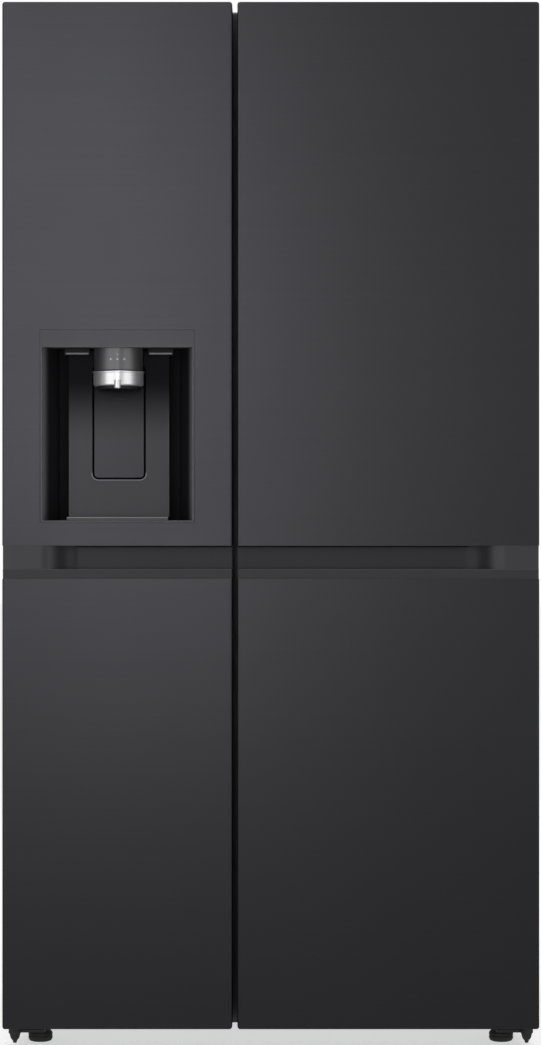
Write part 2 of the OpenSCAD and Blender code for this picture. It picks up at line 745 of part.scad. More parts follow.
// Moulded caps at the door's top and bottom, bored for the hinge pins
module door_caps(x, axis_x) color([0.1, 0.1, 0.11]) difference() {
  intersection() {
    for (z = [[door_bottom, door_bottom + cap_h], [door_top - cap_h, door_top]])
      along_z(z)
        front_round_rect([x[0] + door_sheet, x[1] - door_sheet], [face_y + door_sheet, panel_back_y],
                         door_edge_r - door_sheet);
    along_y([face_y, panel_back_y]) door_outline(x, door_sheet);
  }
  translate([axis_x, axis_y, door_bottom - past])
    cylinder(h = door_top - door_bottom + 2 * past, r = pin_r + pin_play);
  hinge_notch(axis_x > 0);
}

module door_foam(x, dike_x) color([0.93, 0.87, 0.68]) difference() {
  union() {
    along_z([door_bottom + cap_h, door_top - cap_h])
      front_round_rect([x[0] + door_sheet, x[1] - door_sheet], [face_y + door_sheet, panel_back_y],
                       door_edge_r - door_sheet);
    dike_core(dike_x);
    if (x == freezer_x) bulge(door_liner_t);
  }
  difference() {
    block([x[0] - past, x[1] + past], [face_y - past, panel_back_y + past], strip_z);
    strip_core(x);
  }
  children();
}

// The foam behind the handle strip
module strip_core(x)
  block([x[0] + strip_inset + cheek, x[1] - strip_inset - cheek],
        [face_y + handle_depth, panel_back_y + 2 * past], [strip_z[0], strip_z[1]]);

// The handle strip: a finger recess over a grip lip, open at the door's free edge.
// free_end is past that edge and closed_end is where the recess meets the plain part.
module door_handle(x, closed_end, free_end) color([0.22, 0.22, 0.24]) difference() {
  block([x[0] + strip_inset, x[1] - strip_inset], [face_y + strip_setback, panel_back_y], strip_z);
  difference() {
    strip_core(x);
    block([x[0], x[1]], [face_y, face_y + handle_depth], strip_z);
  }
  along_x([x[0] - past, x[1] + past]) polygon([
    [face_y - past, strip_z[0] - past], [face_y + strip_setback + lip_lean, strip_z[0] - past],
    [face_y + strip_setback + lip_lean, strip_z[0]], [face_y + strip_setback, lip_top],
    [face_y - past, lip_top]
  ]);
  intersection() {
    along_x([min(closed_end, free_end), max(closed_end, free_end)]) handle_recess();
    along_z(strip_z + [-past, past]) recess_outline(closed_end, free_end);
  }
}

// The recess seen from above, with its closed end curving back into the door
module recess_outline(closed_end, free_end) {
  inward = free_end > closed_end ? recess_end_r : -recess_end_r;
  span = [closed_end + inward, free_end];
  rect([min(span), max(span)], [face_y - 2 * past, face_y + recess_d + past]);
  translate([closed_end + inward, face_y]) circle(recess_end_r);
  rect([min(closed_end, closed_end + inward), max(closed_end, closed_end + inward)],
       [face_y - 2 * past, face_y]);
}

module handle_recess() {
  back = face_y + recess_d;
  rect([face_y - past, back - recess_fillet], [lip_top, strip_z[1] + past]);
  rect([face_y + lip_t, back], [lip_top - undercut + recess_fillet, strip_z[1] - recess_fillet]);
  rect([face_y + lip_t, back - recess_fillet], [lip_top - undercut, lip_top + past]);
  for (z = [lip_top - undercut + recess_fillet, strip_z[1] - recess_fillet])
    translate([back - recess_fillet, z]) circle(recess_fillet);
}

// The door's inner skin with the raised ring that holds the bins
module door_liner(x, dike_x) color([0.92, 0.93, 0.94]) {
  difference() {
    along_y([panel_back_y, door_back_y]) rect(x, [door_bottom, door_top]);
    dike_core(dike_x);
    hinge_notch(x == fridge_x);
  }
  difference() {
    along_y([door_back_y - past, door_back_y + dike_h]) rect_ring(dike_x, dike_z, dike_t);
    dike_core(dike_x);
  }
}

// The foam inside the liner's raised ring
module dike_core(dike_x) along_y([panel_back_y - past, door_back_y + dike_h - door_liner_t])
  rect_ring([dike_x[0] + door_liner_t, dike_x[1] - door_liner_t],
            [dike_z[0] + door_liner_t, dike_z[1] - door_liner_t], dike_t - 2 * door_liner_t);

module door_gasket(x) color([0.13, 0.13, 0.14])
  along_y([door_back_y, case_front_y - gasket_play])
    rect_ring(x, [door_bottom + gasket_rise, door_top - gasket_rise], gasket_w);

function bin_x(dike_x) = [dike_x[0] + dike_t, dike_x[1] - dike_t];

module door_bin(dike_x, z) color([0.8, 0.86, 0.9])
  open_box(bin_x(dike_x), [door_back_y, door_back_y + bin_reach], [z, z + bin_h], bin_wall);

// ---------- dispenser ----------

// Half of the recess's width at its front, at its bend and at its back
module recess_plan(t, front_y) {
  bend = disp_w / 2 - 8;
  rear = disp_w / 2 - 24;
  polygon([
    [disp_x - disp_w / 2 - t, front_y], [disp_x - disp_w / 2 - t, face_y + bezel_t + t],
    [disp_x - bend - t, face_y + 45], [disp_x - rear - t, housing_back_y + t],
    [disp_x + rear + t, housing_back_y + t], [disp_x + bend + t, face_y + 45],
    [disp_x + disp_w / 2 + t, face_y + bezel_t + t], [disp_x + disp_w / 2 + t, front_y]
  ]);
}

module housing_shape() {
  along_z([disp_z[0] - housing_t, disp_z[1] + housing_t]) recess_plan(housing_t, face_y + bezel_t);
  along_y([face_y + bezel_t, face_y + bezel_t + 2]) rect(bezel_x, bezel_z);
}

module dispenser_bezel() color([0.24, 0.24, 0.26]) along_y([face_y, face_y + bezel_t]) difference() {
  rect(bezel_x, bezel_z);
  rect([disp_x - disp_w / 2, disp_x + disp_w / 2], disp_z);
}

module dispenser_housing() color([0.09, 0.09, 0.1]) difference() {
  housing_shape();
  along_z(disp_z) recess_plan(0, face_y);
  ice_path([disp_z[1] - past, disp_z[1] + housing_t + past]);
}

module ice_path(z) translate([disp_x, head_y, z[0]]) cylinder(h = z[1] - z[0], r = chute_bore_r);

// The channel that leads ice from the ice maker through the door to the dispenser's head
module ice_channel()
  block([disp_x - duct_hole / 2, disp_x + duct_hole / 2], [head_y - chute_bore_r, door_back_y + past],
        [disp_z[1] + housing_t, ice_z[0] + 40]);

module backplate_opening()
  round_rect([disp_x - paddle_w / 2 - paddle_gap, disp_x + paddle_w / 2 + paddle_gap],
             [paddle_z[0] - paddle_gap, paddle_z[1] + 20], paddle_corner_r + paddle_gap);

module dispenser_backplate() color([0.24, 0.24, 0.26]) {
  x = [disp_x - backplate_w / 2, disp_x + backplate_w / 2];
  difference() {
    union() {
      along_y([backplate_y, backplate_y + housing_t]) difference() {
        rect(x, backplate_z);
        backplate_opening();
      }
      for (side = [[x[0], x[0] + housing_t], [x[1] - housing_t, x[1]]])
        block(side, [backplate_y + 1, housing_back_y], backplate_z);
      for (s = [-1, 1])
        block([disp_x + s * ear_x - ear_w / 2, disp_x + s * ear_x + ear_w / 2],
              [backplate_y + 1, axle_y + 6], [axle_z - 8, axle_z + 8]);
    }
    translate([disp_x, axle_y, axle_z]) rotate([0, 90, 0])
      cylinder(h = 2 * ear_x + ear_w + 2 * past, r = axle_r + axle_play, center = true);
  }
}

module nozzle_seat() translate([disp_x, nozzle_y, nozzle_z[0] - past])
  cylinder(h = nozzle_z[1] - nozzle_z[0] + past, r = nozzle_r);

// Everything in front of a depth, from the door face
module in_front_of(y) intersection() {
  children();
  block([disp_x - disp_w / 2, disp_x + disp_w / 2], [face_y, y], disp_z);
}

module tube(r, bore, z) translate([disp_x, head_y, z[0]]) difference() {
  cylinder(h = z[1] - z[0], r = r);
  translate([0, 0, -past]) cylinder(h = z[1] - z[0] + 2 * past, r = bore);
}

// Round control head with the ice chute through it
module dispenser_head() color([0.3, 0.3, 0.32]) difference() {
  union() {
    in_front_of(backplate_y) tube(head_r, chute_bore_r, [head_z, disp_z[1]]);
    in_front_of(head_back_y) tube(chute_r, chute_bore_r, [chute_z, head_z + past]);
  }
  nozzle_seat();
}

module dispenser_ring() color([0.85, 0.85, 0.87]) difference() {
  in_front_of(head_back_y) {
    tube(ring_r, chute_r, ring_z);
    tube(ring_flange_r, chute_r, [ring_z[1] - ring_flange_h, ring_z[1]]);
  }
  nozzle_seat();
}

module dispenser_nozzle() color([0.85, 0.85, 0.87])
  translate([disp_x, nozzle_y, nozzle_z[0]]) difference() {
    cylinder(h = nozzle_z[1] - nozzle_z[0], r = nozzle_r);
    translate([0, 0, -past]) cylinder(h = nozzle_z[1] - nozzle_z[0] - 3 + past, r = nozzle_bore_r);
  }

module dispenser_paddle() color([0.26, 0.26, 0.28]) {
  along_y([backplate_y - 0.5, backplate_y - 0.5 + paddle_t])
    round_rect([disp_x - paddle_w / 2, disp_x + paddle_w / 2], paddle_z, paddle_corner_r);
  translate([disp_x, axle_y, axle_z]) rotate([0, 90, 0])
    cylinder(h = paddle_w + 2 * paddle_gap + 2 * ear_w - 3, r = axle_r, center = true);
}

// Drip tray with a slotted top over a shallow dish
tray_slots = 13;
tray_slot_w = 5;
tray_slot_pitch = 12;
tray_floor_t = 1.5;
module dispenser_tray() color([0.5, 0.5, 0.52]) difference() {
  tray_z = disp_z[0] + clear;
  block([disp_x - tray_w / 2, disp_x + tray_w / 2], tray_y, [tray_z, tray_z + tray_h]);
  for (i = [0:tray_slots - 1]) {
    x = disp_x + (i - (tray_slots - 1) / 2) * tray_slot_pitch;
    block([x - tray_slot_w / 2, x + tray_slot_w / 2], [tray_y[0] + 12, tray_y[1] - 8],
          [tray_z + tray_floor_t, tray_z + tray_h + past]);
  }
}

// Ice maker and its bucket in one housing on the freezer door
module ice_maker() color([0.9, 0.92, 0.94]) {
  x = bin_x(freezer_dike_x);
  y = [door_back_y, door_back_y + ice_reach];
  difference() {
    block(x, y, ice_z);
    block([x[0] + 4, x[1] - 4], [y[0] + 4, y[1] - 4], [ice_z[0] + 4, ice_z[1] - 4]);
    block([disp_x - duct_hole / 2, disp_x + duct_hole / 2], [y[0] - past, y[0] + 4 + past],
          [ice_z[0] + 4, ice_z[0] + 40]);
  }
}

// The liner's bulge behind the dispenser's recess, taken in by t
module bulge(t)
  block([freezer_dike_x[0] + dike_t + bulge_margin + t, freezer_dike_x[1] - dike_t - bulge_margin - t],
        [panel_back_y - past, door_back_y + bulge_t - t], [disp_z[0] + t, disp_z[1] - t]);

module freezer_door_liner() color([0.92, 0.93, 0.94]) difference() {
  union() {
    door_liner(freezer_x, freezer_dike_x);
    intersection() {
      bulge(0);
      block(freezer_x, [door_back_y - door_liner_t, door_back_y + bulge_t], disp_z);
    }
  }
  bulge(door_liner_t);
  ice_channel();
}

module freezer_door_foam() door_foam(freezer_x, freezer_dike_x) {
  block(bezel_x, [face_y - past, face_y + bezel_t + 2], bezel_z);
  housing_shape();
  ice_channel();
}

module freezer_door_upper_panel() color([0.27, 0.27, 0.29]) difference() {
  upper_panel(freezer_x);
  along_y([face_y - past, face_y + 2 * door_sheet]) rect(bezel_x, bezel_z);
}

side_panel(true);  // side_panel_left
side_panel(false);  // side_panel_right
top_panel();
back_panel();
base_plate();
cabinet_foam();
freezer_liner();
fridge_liner();
front_frame();
top_covers();
top_hinge(false);  // top_hinge_left
top_hinge(true);  // top_hinge_right
bottom_hinge(false);  // bottom_hinge_left
bottom_hinge(true);  // bottom_hinge_right
foot(0);  // foot_left
foot(1);  // foot_right
rear_roller(0);  // rear_roller_left
rear_roller(1);  // rear_roller_right
rear_axles();
machine_cover();
compressor();
condenser();
condenser_fan();
fan_motor();
water_valve();
evaporator();
evaporator_cover();
freezer_shelves();
drawer(freezer_cavity_x, drawer_back_lower, 0);  // freezer_drawer_lower
drawer(freezer_cavity_x, freezer_drawer_back, 1);  // freezer_drawer_upper
fridge_shelves();
crisper_cover();
drawer(fridge_cavity_x, drawer_back_lower, 0);  // crisper_lower
drawer(fridge_cavity_x, crisper_back, 1);  // crisper_upper
air_duct();
freezer_door_upper_panel();
door_panel(freezer_x, [door_bottom, strip_z[0]]);  // freezer_door_lower_panel
door_caps(freezer_x, left_axis_x);  // freezer_door_caps
freezer_door_foam();
freezer_door_liner();
door_gasket([freezer_x[0] + gasket_outer_inset, freezer_x[1] - gasket_inner_inset]);  // freezer_door_gasket
door_handle(freezer_x, freezer_x[0] + freezer_land, freezer_x[1] + past);  // freezer_door_handle
for (z = freezer_bin_z) door_bin(freezer_dike_x, z);  // freezer_door_bins
ice_maker();
dispenser_bezel();
dispenser_housing();
dispenser_backplate();
dispenser_head();
dispenser_ring();
dispenser_nozzle();
dispenser_paddle();
dispenser_tray();
upper_panel(fridge_x);  // fridge_door_upper_panel
door_panel(fridge_x, [door_bottom, strip_z[0]]);  // fridge_door_lower_panel
door_caps(fridge_x, right_axis_x);  // fridge_door_caps
door_foam(fridge_x, fridge_dike_x);  // fridge_door_foam
door_liner(fridge_x, fridge_dike_x);  // fridge_door_liner
door_gasket([fridge_x[0] + gasket_inner_inset, fridge_x[1] - gasket_outer_inset]);  // fridge_door_gasket
door_handle(fridge_x, fridge_x[1] - fridge_land, fridge_x[0] - past);  // fridge_door_handle
for (i = [0:fridge_bin_count - 1]) door_bin(fridge_dike_x, shelf_base_z + 20 + i * fridge_bin_pitch);  // fridge_door_bins
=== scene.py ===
# Side-by-side refrigerator freezer with an ice and water dispenser in its freezer door.
# Metres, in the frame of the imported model: X to the right, Y to the back, Z up, floor at Z = 0.
import json
import math

import bmesh
import bpy
from mathutils import Matrix, Vector


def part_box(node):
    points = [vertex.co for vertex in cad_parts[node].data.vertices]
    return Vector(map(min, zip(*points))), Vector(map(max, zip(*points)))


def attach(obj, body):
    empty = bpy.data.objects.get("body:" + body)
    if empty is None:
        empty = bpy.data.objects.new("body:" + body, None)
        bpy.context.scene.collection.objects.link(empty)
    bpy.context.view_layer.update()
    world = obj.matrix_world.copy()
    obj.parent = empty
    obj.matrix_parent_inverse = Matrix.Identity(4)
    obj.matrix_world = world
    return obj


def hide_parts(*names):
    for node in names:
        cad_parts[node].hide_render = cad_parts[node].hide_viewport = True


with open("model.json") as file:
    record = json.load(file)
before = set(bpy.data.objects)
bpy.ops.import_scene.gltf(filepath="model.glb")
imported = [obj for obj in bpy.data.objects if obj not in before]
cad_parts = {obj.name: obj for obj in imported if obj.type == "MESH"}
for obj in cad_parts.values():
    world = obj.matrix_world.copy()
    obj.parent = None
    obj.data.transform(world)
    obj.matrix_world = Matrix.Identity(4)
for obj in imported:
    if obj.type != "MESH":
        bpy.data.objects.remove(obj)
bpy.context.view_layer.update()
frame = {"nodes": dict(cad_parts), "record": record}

MM = 0.001
TOUCH = 0.01 * MM
MERGE = 0.001 * MM
X, Y, Z = 0, 1, 2
nodes = frame["nodes"]
record = frame["record"]
body_of_node = {node: body for body, members in record["behaviour"]["bodies"].items() for node in members}
slot_of_node = {row["node"]: row["material_slot"] for row in record["subparts"]}
low = {node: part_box(node)[0] for node in nodes}
high = {node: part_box(node)[1] for node in nodes}

FACE_Y = low["fridge_door_upper_panel"].y
DOOR_BACK_Y = low["fridge_door_gasket"].y
CASE_FRONT_Y = low["front_frame"].y
CASE_BACK_Y = high["back_panel"].y


# ---------- shader groups ----------

def add(tree, kind, **values):
    """A node with its properties and the values of its inputs set by name."""
    node = tree.nodes.new(kind)
    for key, value in values.items():
        if key in node.inputs:
            node.inputs[key].default_value = value
        else:
            setattr(node, key, value)
    return node


def shader_group(name, inputs, outputs):
    tree = bpy.data.node_groups.new(name, "ShaderNodeTree")
    for socket, value in inputs.items():
        kind = "NodeSocketVector" if isinstance(value, tuple) else "NodeSocketFloat"
        tree.interface.new_socket(socket, in_out="INPUT", socket_type=kind).default_value = value
    for socket in outputs:
        tree.interface.new_socket(socket, in_out="OUTPUT", socket_type="NodeSocketFloat")
    return tree, tree.nodes.new("NodeGroupInput"), tree.nodes.new("NodeGroupOutput")


def stretched_noise(tree, place, scale, detail, rough=0.5):
    """Noise on object coordinates, with a scale for each axis that is a socket or three numbers."""
    mapping = add(tree, "ShaderNodeMapping")
    if isinstance(scale, tuple):
        mapping.inputs["Scale"].default_value = scale
    else:
        tree.links.new(scale, mapping.inputs["Scale"])
    noise = add(tree, "ShaderNodeTexNoise", Scale=1.0, Detail=detail, Roughness=rough)
    tree.links.new(place.outputs["Object"], mapping.inputs["Vector"])
    tree.links.new(mapping.outputs["Vector"], noise.inputs["Vector"])
    return noise.outputs["Fac"]


def smooth_range(tree, value, start, end):
    """0 below start, 1 above end, and a smooth rise between them."""
    rise = add(tree, "ShaderNodeMapRange", interpolation_type="SMOOTHSTEP")
    rise.inputs["From Min"].default_value = start
    rise.inputs["From Max"].default_value = end
    tree.links.new(value, rise.inputs["Value"])
    return rise.outputs["Result"]


def multiplied(tree, first, second):
    product = add(tree, "ShaderNodeMath", operation="MULTIPLY")
    tree.links.new(first, product.inputs[0])
    tree.links.new(second, product.inputs[1])
    return product.outputs["Value"]


def surface_grain():
    """A fine height for the grain, a slow drift of tone, and the soft marks that handling leaves."""
    tree, given, result = shader_group(
        "surface_grain", {"Fine": (900.0, 900.0, 900.0), "Drift": (6.0, 6.0, 6.0)},
        ["Height", "Tone", "Marks"]
    )
    place = add(tree, "ShaderNodeTexCoord")
    tree.links.new(stretched_noise(tree, place, given.outputs["Fine"], 3.0), result.inputs["Height"])
    tree.links.new(stretched_noise(tree, place, given.outputs["Drift"], 3.0), result.inputs["Tone"])
    marks = stretched_noise(tree, place, (7.0, 7.0, 4.0), 6.0, 0.62)
    tree.links.new(smooth_range(tree, marks, 0.42, 0.68), result.inputs["Marks"])
    return tree


def settled_dust():
    """A mask of the dust that lies on what faces up."""
    tree, given, result = shader_group("settled_dust", {"Amount": 0.2}, ["Mask"])
    place = add(tree, "ShaderNodeTexCoord")
    specks = stretched_noise(tree, place, (60.0, 60.0, 60.0), 5.0, 0.7)
    facing = add(tree, "ShaderNodeSeparateXYZ")
    tree.links.new(add(tree, "ShaderNodeNewGeometry").outputs["Normal"], facing.inputs["Vector"])
    on_top = multiplied(tree, smooth_range(tree, facing.outputs["Z"], 0.6, 1.0), specks)
    tree.links.new(multiplied(tree, on_top, given.outputs["Amount"]), result.inputs["Mask"])
    return tree


GRAIN = surface_grain()
DUST = settled_dust()
DUST_COLOUR = (0.42, 0.40, 0.37, 1.0)


# ---------- finishes ----------

COLOUR_A, COLOUR_B, MIXED = 6, 7, 2


def mixed_colour(tree, factor, first, second):
    mix = add(tree, "ShaderNodeMix", data_type="RGBA")
    pairs = ((mix.inputs["Factor"], factor), (mix.inputs[COLOUR_A], first), (mix.inputs[COLOUR_B], second))
    for socket, value in pairs:
        if isinstance(value, tuple):
            socket.default_value = value
        else:
            tree.links.new(value, socket)
    return mix.outputs[MIXED]


def finish(name, colour, rough, fine, bump, tone=0.08, marks=0.06, drift=(6.0, 6.0, 6.0), dust=0.0, fade=None,
           **constants):
    """A colour that drifts by tone, a roughness that marks add to, and a grain whose height is bump metres.

    fade is an axis, two places on it and the colour that the surface fades to between them; every use of it
    here paints shade into the colour.
    """
    material = bpy.data.materials.new(name)
    material.use_nodes = True
    tree = material.node_tree
    shader = tree.nodes["Principled BSDF"]
    for socket, value in constants.items():
        shader.inputs[socket.replace("_", " ")].default_value = value
    grain = add(tree, "ShaderNodeGroup", node_tree=GRAIN)
    grain.inputs["Fine"].default_value = fine
    grain.inputs["Drift"].default_value = drift
    darker = tuple(c * (1 - tone) for c in colour) + (1.0,)
    lighter = tuple(min(1.0, c * (1 + tone)) for c in colour) + (1.0,)
    surface = mixed_colour(tree, grain.outputs["Tone"], darker, lighter)
    if fade:
        axis, start, end, far_colour = fade
        place = add(tree, "ShaderNodeSeparateXYZ")
        tree.links.new(add(tree, "ShaderNodeTexCoord").outputs["Object"], place.inputs["Vector"])
        surface = mixed_colour(tree, smooth_range(tree, place.outputs[axis], start, end), surface,
                               far_colour + (1.0,))
    if dust:
        mask = add(tree, "ShaderNodeGroup", node_tree=DUST)
        mask.inputs["Amount"].default_value = dust
        surface = mixed_colour(tree, mask.outputs["Mask"], surface, DUST_COLOUR)
    tree.links.new(surface, shader.inputs["Base Color"])
    spread = add(tree, "ShaderNodeMapRange")
    spread.inputs["To Min"].default_value = rough
    spread.inputs["To Max"].default_value = rough + marks
    tree.links.new(grain.outputs["Marks"], spread.inputs["Value"])
    tree.links.new(spread.outputs["Result"], shader.inputs["Roughness"])
    relief = add(tree, "ShaderNodeBump", Strength=1.0, Distance=bump)
    tree.links.new(grain.outputs["Height"], relief.inputs["Height"])
    tree.links.new(relief.outputs["Normal"], shader.inputs["Normal"])
    return material


LENS_TINT = 0.12


def lit_diffuser(name, colour, strength):
    """A glowing lens whose light is a little uneven."""
    material = bpy.data.materials.new(name)
    material.use_nodes = True
    tree = material.node_tree
    shader = tree.nodes["Principled BSDF"]
    shader.inputs["Emission Strength"].default_value = strength
    shader.inputs["Roughness"].default_value = 0.4
    shader.inputs["Base Color"].default_value = tuple(c * LENS_TINT for c in colour) + (1.0,)
    unevenness = stretched_noise(tree, add(tree, "ShaderNodeTexCoord"), (40.0, 40.0, 40.0), 1.0)
    dim = tuple(c * 0.8 for c in colour) + (1.0,)
    tree.links.new(mixed_colour(tree, unevenness, dim, colour + (1.0,)), shader.inputs["Emission Color"])
    return material


FINE = (900.0, 900.0, 900.0)
BRUSHED = (5.0, 5.0, 1600.0)
BRUSHED_DRIFT = (2.0, 2.0, 420.0)

door_steel = finish("door_steel", (0.056, 0.056, 0.062), 0.30, BRUSHED, 0.000006, tone=0.08, marks=0.012,
                    drift=BRUSHED_DRIFT, dust=0.1, Metallic=1.0)
door_paint = finish("door_paint", (0.062, 0.062, 0.068), 0.34, BRUSHED, 0.000004, tone=0.04, marks=0.015,
                    drift=BRUSHED_DRIFT, Metallic=1.0)
case_paint = finish("case_paint", (0.034, 0.034, 0.038), 0.40, (420.0, 420.0, 420.0), 0.00004, tone=0.05,
                    marks=0.03, dust=0.12)
zinc_sheet = finish("zinc_sheet", (0.50, 0.51, 0.52), 0.38, (240.0, 240.0, 240.0), 0.00003, tone=0.22,
                    marks=0.18, drift=(85.0, 85.0, 85.0), Metallic=1.0)
foam = finish("insulation_foam", (0.78, 0.66, 0.40), 0.85, (300.0, 300.0, 300.0), 0.0006, tone=0.2)
liner_white = finish("liner_white", (0.80, 0.81, 0.82), 0.28, (500.0, 500.0, 500.0), 0.00002, tone=0.015,
                     marks=0.1)
trim_white = finish("trim_white", (0.74, 0.75, 0.76), 0.32, FINE, 0.00002, tone=0.03)
trim_silver = finish("trim_silver", (0.62, 0.63, 0.64), 0.30, (3.0, 900.0, 900.0), 0.00002, tone=0.06,
                     Metallic=1.0)
black_plastic = finish("black_plastic", (0.018, 0.018, 0.020), 0.48, FINE, 0.00008, tone=0.15, dust=0.3)
plain_steel = finish("plain_steel", (0.46, 0.46, 0.47), 0.33, (700.0, 700.0, 60.0), 0.00003, tone=0.14,
                     marks=0.2, drift=(50.0, 50.0, 50.0), Metallic=1.0)
gasket_rubber = finish("gasket_rubber", (0.045, 0.045, 0.048), 0.62, (600.0, 600.0, 600.0), 0.00004,
                       tone=0.12)
grey_plastic = finish("grey_plastic", (0.10, 0.10, 0.105), 0.5, FINE, 0.00008, tone=0.12, dust=0.15)
black_enamel = finish("black_enamel", (0.012, 0.012, 0.013), 0.22, (200.0, 200.0, 200.0), 0.00005,
                      tone=0.2, dust=0.5, Coat_Weight=0.5)
bare_aluminium = finish("bare_aluminium", (0.72, 0.73, 0.74), 0.35, (300.0, 900.0, 900.0), 0.00003,
                        tone=0.1, marks=0.2, Metallic=1.0)
valve_white = finish("valve_white", (0.70, 0.70, 0.68), 0.4, FINE, 0.00004)
recess_black = finish("recess_black", (0.012, 0.012, 0.014), 0.5, FINE, 0.00001, tone=0.1, marks=0.06,
                      Specular_IOR_Level=0.3)
bright_trim = finish("bright_trim", (0.84, 0.84, 0.85), 0.30, FINE, 0.000001, tone=0.02, marks=0.005,
                     Metallic=0.85)
shelf_glass = finish("shelf_glass", (0.93, 0.97, 0.96), 0.02, FINE, 0.0, tone=0.01, marks=0.04,
                     Transmission_Weight=1.0, IOR=1.5)
clear_plastic = finish("clear_plastic", (0.90, 0.94, 0.96), 0.06, (300.0, 300.0, 300.0), 0.00001, tone=0.02,
                       marks=0.08, Transmission_Weight=0.92, IOR=1.46)
print_grey = finish("print_grey", (0.55, 0.55, 0.56), 0.5, FINE, 0.00001)
head_paint = finish("head_paint", (0.15, 0.15, 0.155), 0.38, FINE, 0.000002, tone=0.03, marks=0.01,
                    Metallic=0.8)
tray_edge = finish("tray_edge", (0.21, 0.21, 0.215), 0.36, FINE, 0.000004, tone=0.03, marks=0.02,
                   Metallic=1.0)
PADDLE_TOP = high["dispenser_paddle"].z
# painted shade: the backplate and paddle darken to near black towards the paddle's top, the shade under the
# recess's ceiling
plate_paint = finish("plate_paint", (0.060, 0.060, 0.066), 0.36, FINE, 0.000006, tone=0.03, marks=0.015,
                     fade=(Z, PADDLE_TOP - 118 * MM, PADDLE_TOP - 3 * MM, (0.007, 0.007, 0.008)),
                     Metallic=1.0)
# painted shade: the dispenser recess's side walls darken from the door face inwards to near black, the shade
# deep in the recess
recess_wall = finish("recess_wall", (0.11, 0.11, 0.118), 0.7, FINE, 0.00001, tone=0.05, marks=0.05,
                     fade=(Y, FACE_Y, FACE_Y + 52 * MM, (0.009, 0.009, 0.0105)), Specular_IOR_Level=0.10)
rim_paint = finish("rim_paint", (0.095, 0.095, 0.10), 0.34, FINE, 0.000004, tone=0.03, marks=0.015,
                   Metallic=1.0)
# painted shade: the handle strip darkens from 2 mm to 16 mm behind the door face, the shade inside the finger
# recess
handle_paint = finish("handle_paint", (0.073, 0.073, 0.079), 0.42, BRUSHED, 0.000004, tone=0.04, marks=0.015,
                      drift=BRUSHED_DRIFT, fade=(Y, FACE_Y + 2 * MM, FACE_Y + 16 * MM, (0.050, 0.050, 0.055)),
                      Metallic=1.0)
lamp_light = lit_diffuser("lamp_light", (1.0, 0.97, 0.92), 2.2)
recess_light = lit_diffuser("recess_light", (1.0, 1.0, 1.0), 0.05)

FINISH_OF_SLOT = {
    "black_steel": door_steel, "case_paint": case_paint, "zinc_sheet": zinc_sheet, "insulation": foam,
    "liner_white": liner_white, "shelf_glass": shelf_glass, "clear_plastic": clear_plastic,
    "dark_plastic": black_plastic, "hinge_steel": plain_steel, "gasket_rubber": gasket_rubber,
    "roller_plastic": grey_plastic, "compressor_paint": black_enamel, "fin_aluminium": bare_aluminium,
    "fan_plastic": grey_plastic, "valve_plastic": valve_white, "dispenser_black": recess_black,
    "dispenser_grey": door_paint, "bright_trim": bright_trim,
}
for node, cad_object in nodes.items():
    cad_object.data.materials.clear()
    cad_object.data.materials.append(FINISH_OF_SLOT[slot_of_node[node]])


# ---------- shapes, each a bmesh ----------

def rounded(bm, edges, radius, segments):
    bmesh.ops.bevel(bm, geom=edges, offset=radius, offset_type="OFFSET", segments=segments, profile=0.5,
                    affect="EDGES", clamp_overlap=True, material=-1)


def runs_along(edge, axis):
    return abs((edge.verts[1].co - edge.verts[0].co).normalized()[axis]) > 0.99


def edges_at(bm, axis, place):
    return [e for e in bm.edges if all(abs(v.co[axis] - place) < TOUCH for v in e.verts)]


def reaches(edge, axis, place):
    return any(abs(v.co[axis] - place) < TOUCH for v in edge.verts)


def is_sharp(edge, degrees=50):
    return edge.is_manifold and edge.calc_face_angle() > math.radians(degrees)


def moved(bm, matrix):
    bmesh.ops.transform(bm, matrix=matrix, verts=bm.verts)
    return bm


def slab(start, end, axis=Y, corner=0.0, rim=0.0, corner_segments=6, rim_segments=3):
    """A block: the four edges along an axis get the corner radius, and the others the small rim radius."""
    start, end = Vector(start), Vector(end)
    size = Matrix.Diagonal((*(end - start), 1.0))
    bm = bmesh.new()
    bmesh.ops.create_cube(bm, size=1.0, matrix=Matrix.Translation((start + end) / 2) @ size)
    if corner:
        rounded(bm, [e for e in bm.edges if runs_along(e, axis)], corner, corner_segments)
    if rim:
        at_ends = edges_at(bm, axis, start[axis]) + edges_at(bm, axis, end[axis])
        rounded(bm, [e for e in at_ends if is_sharp(e)] if corner else bm.edges[:], rim, rim_segments)
    return bm


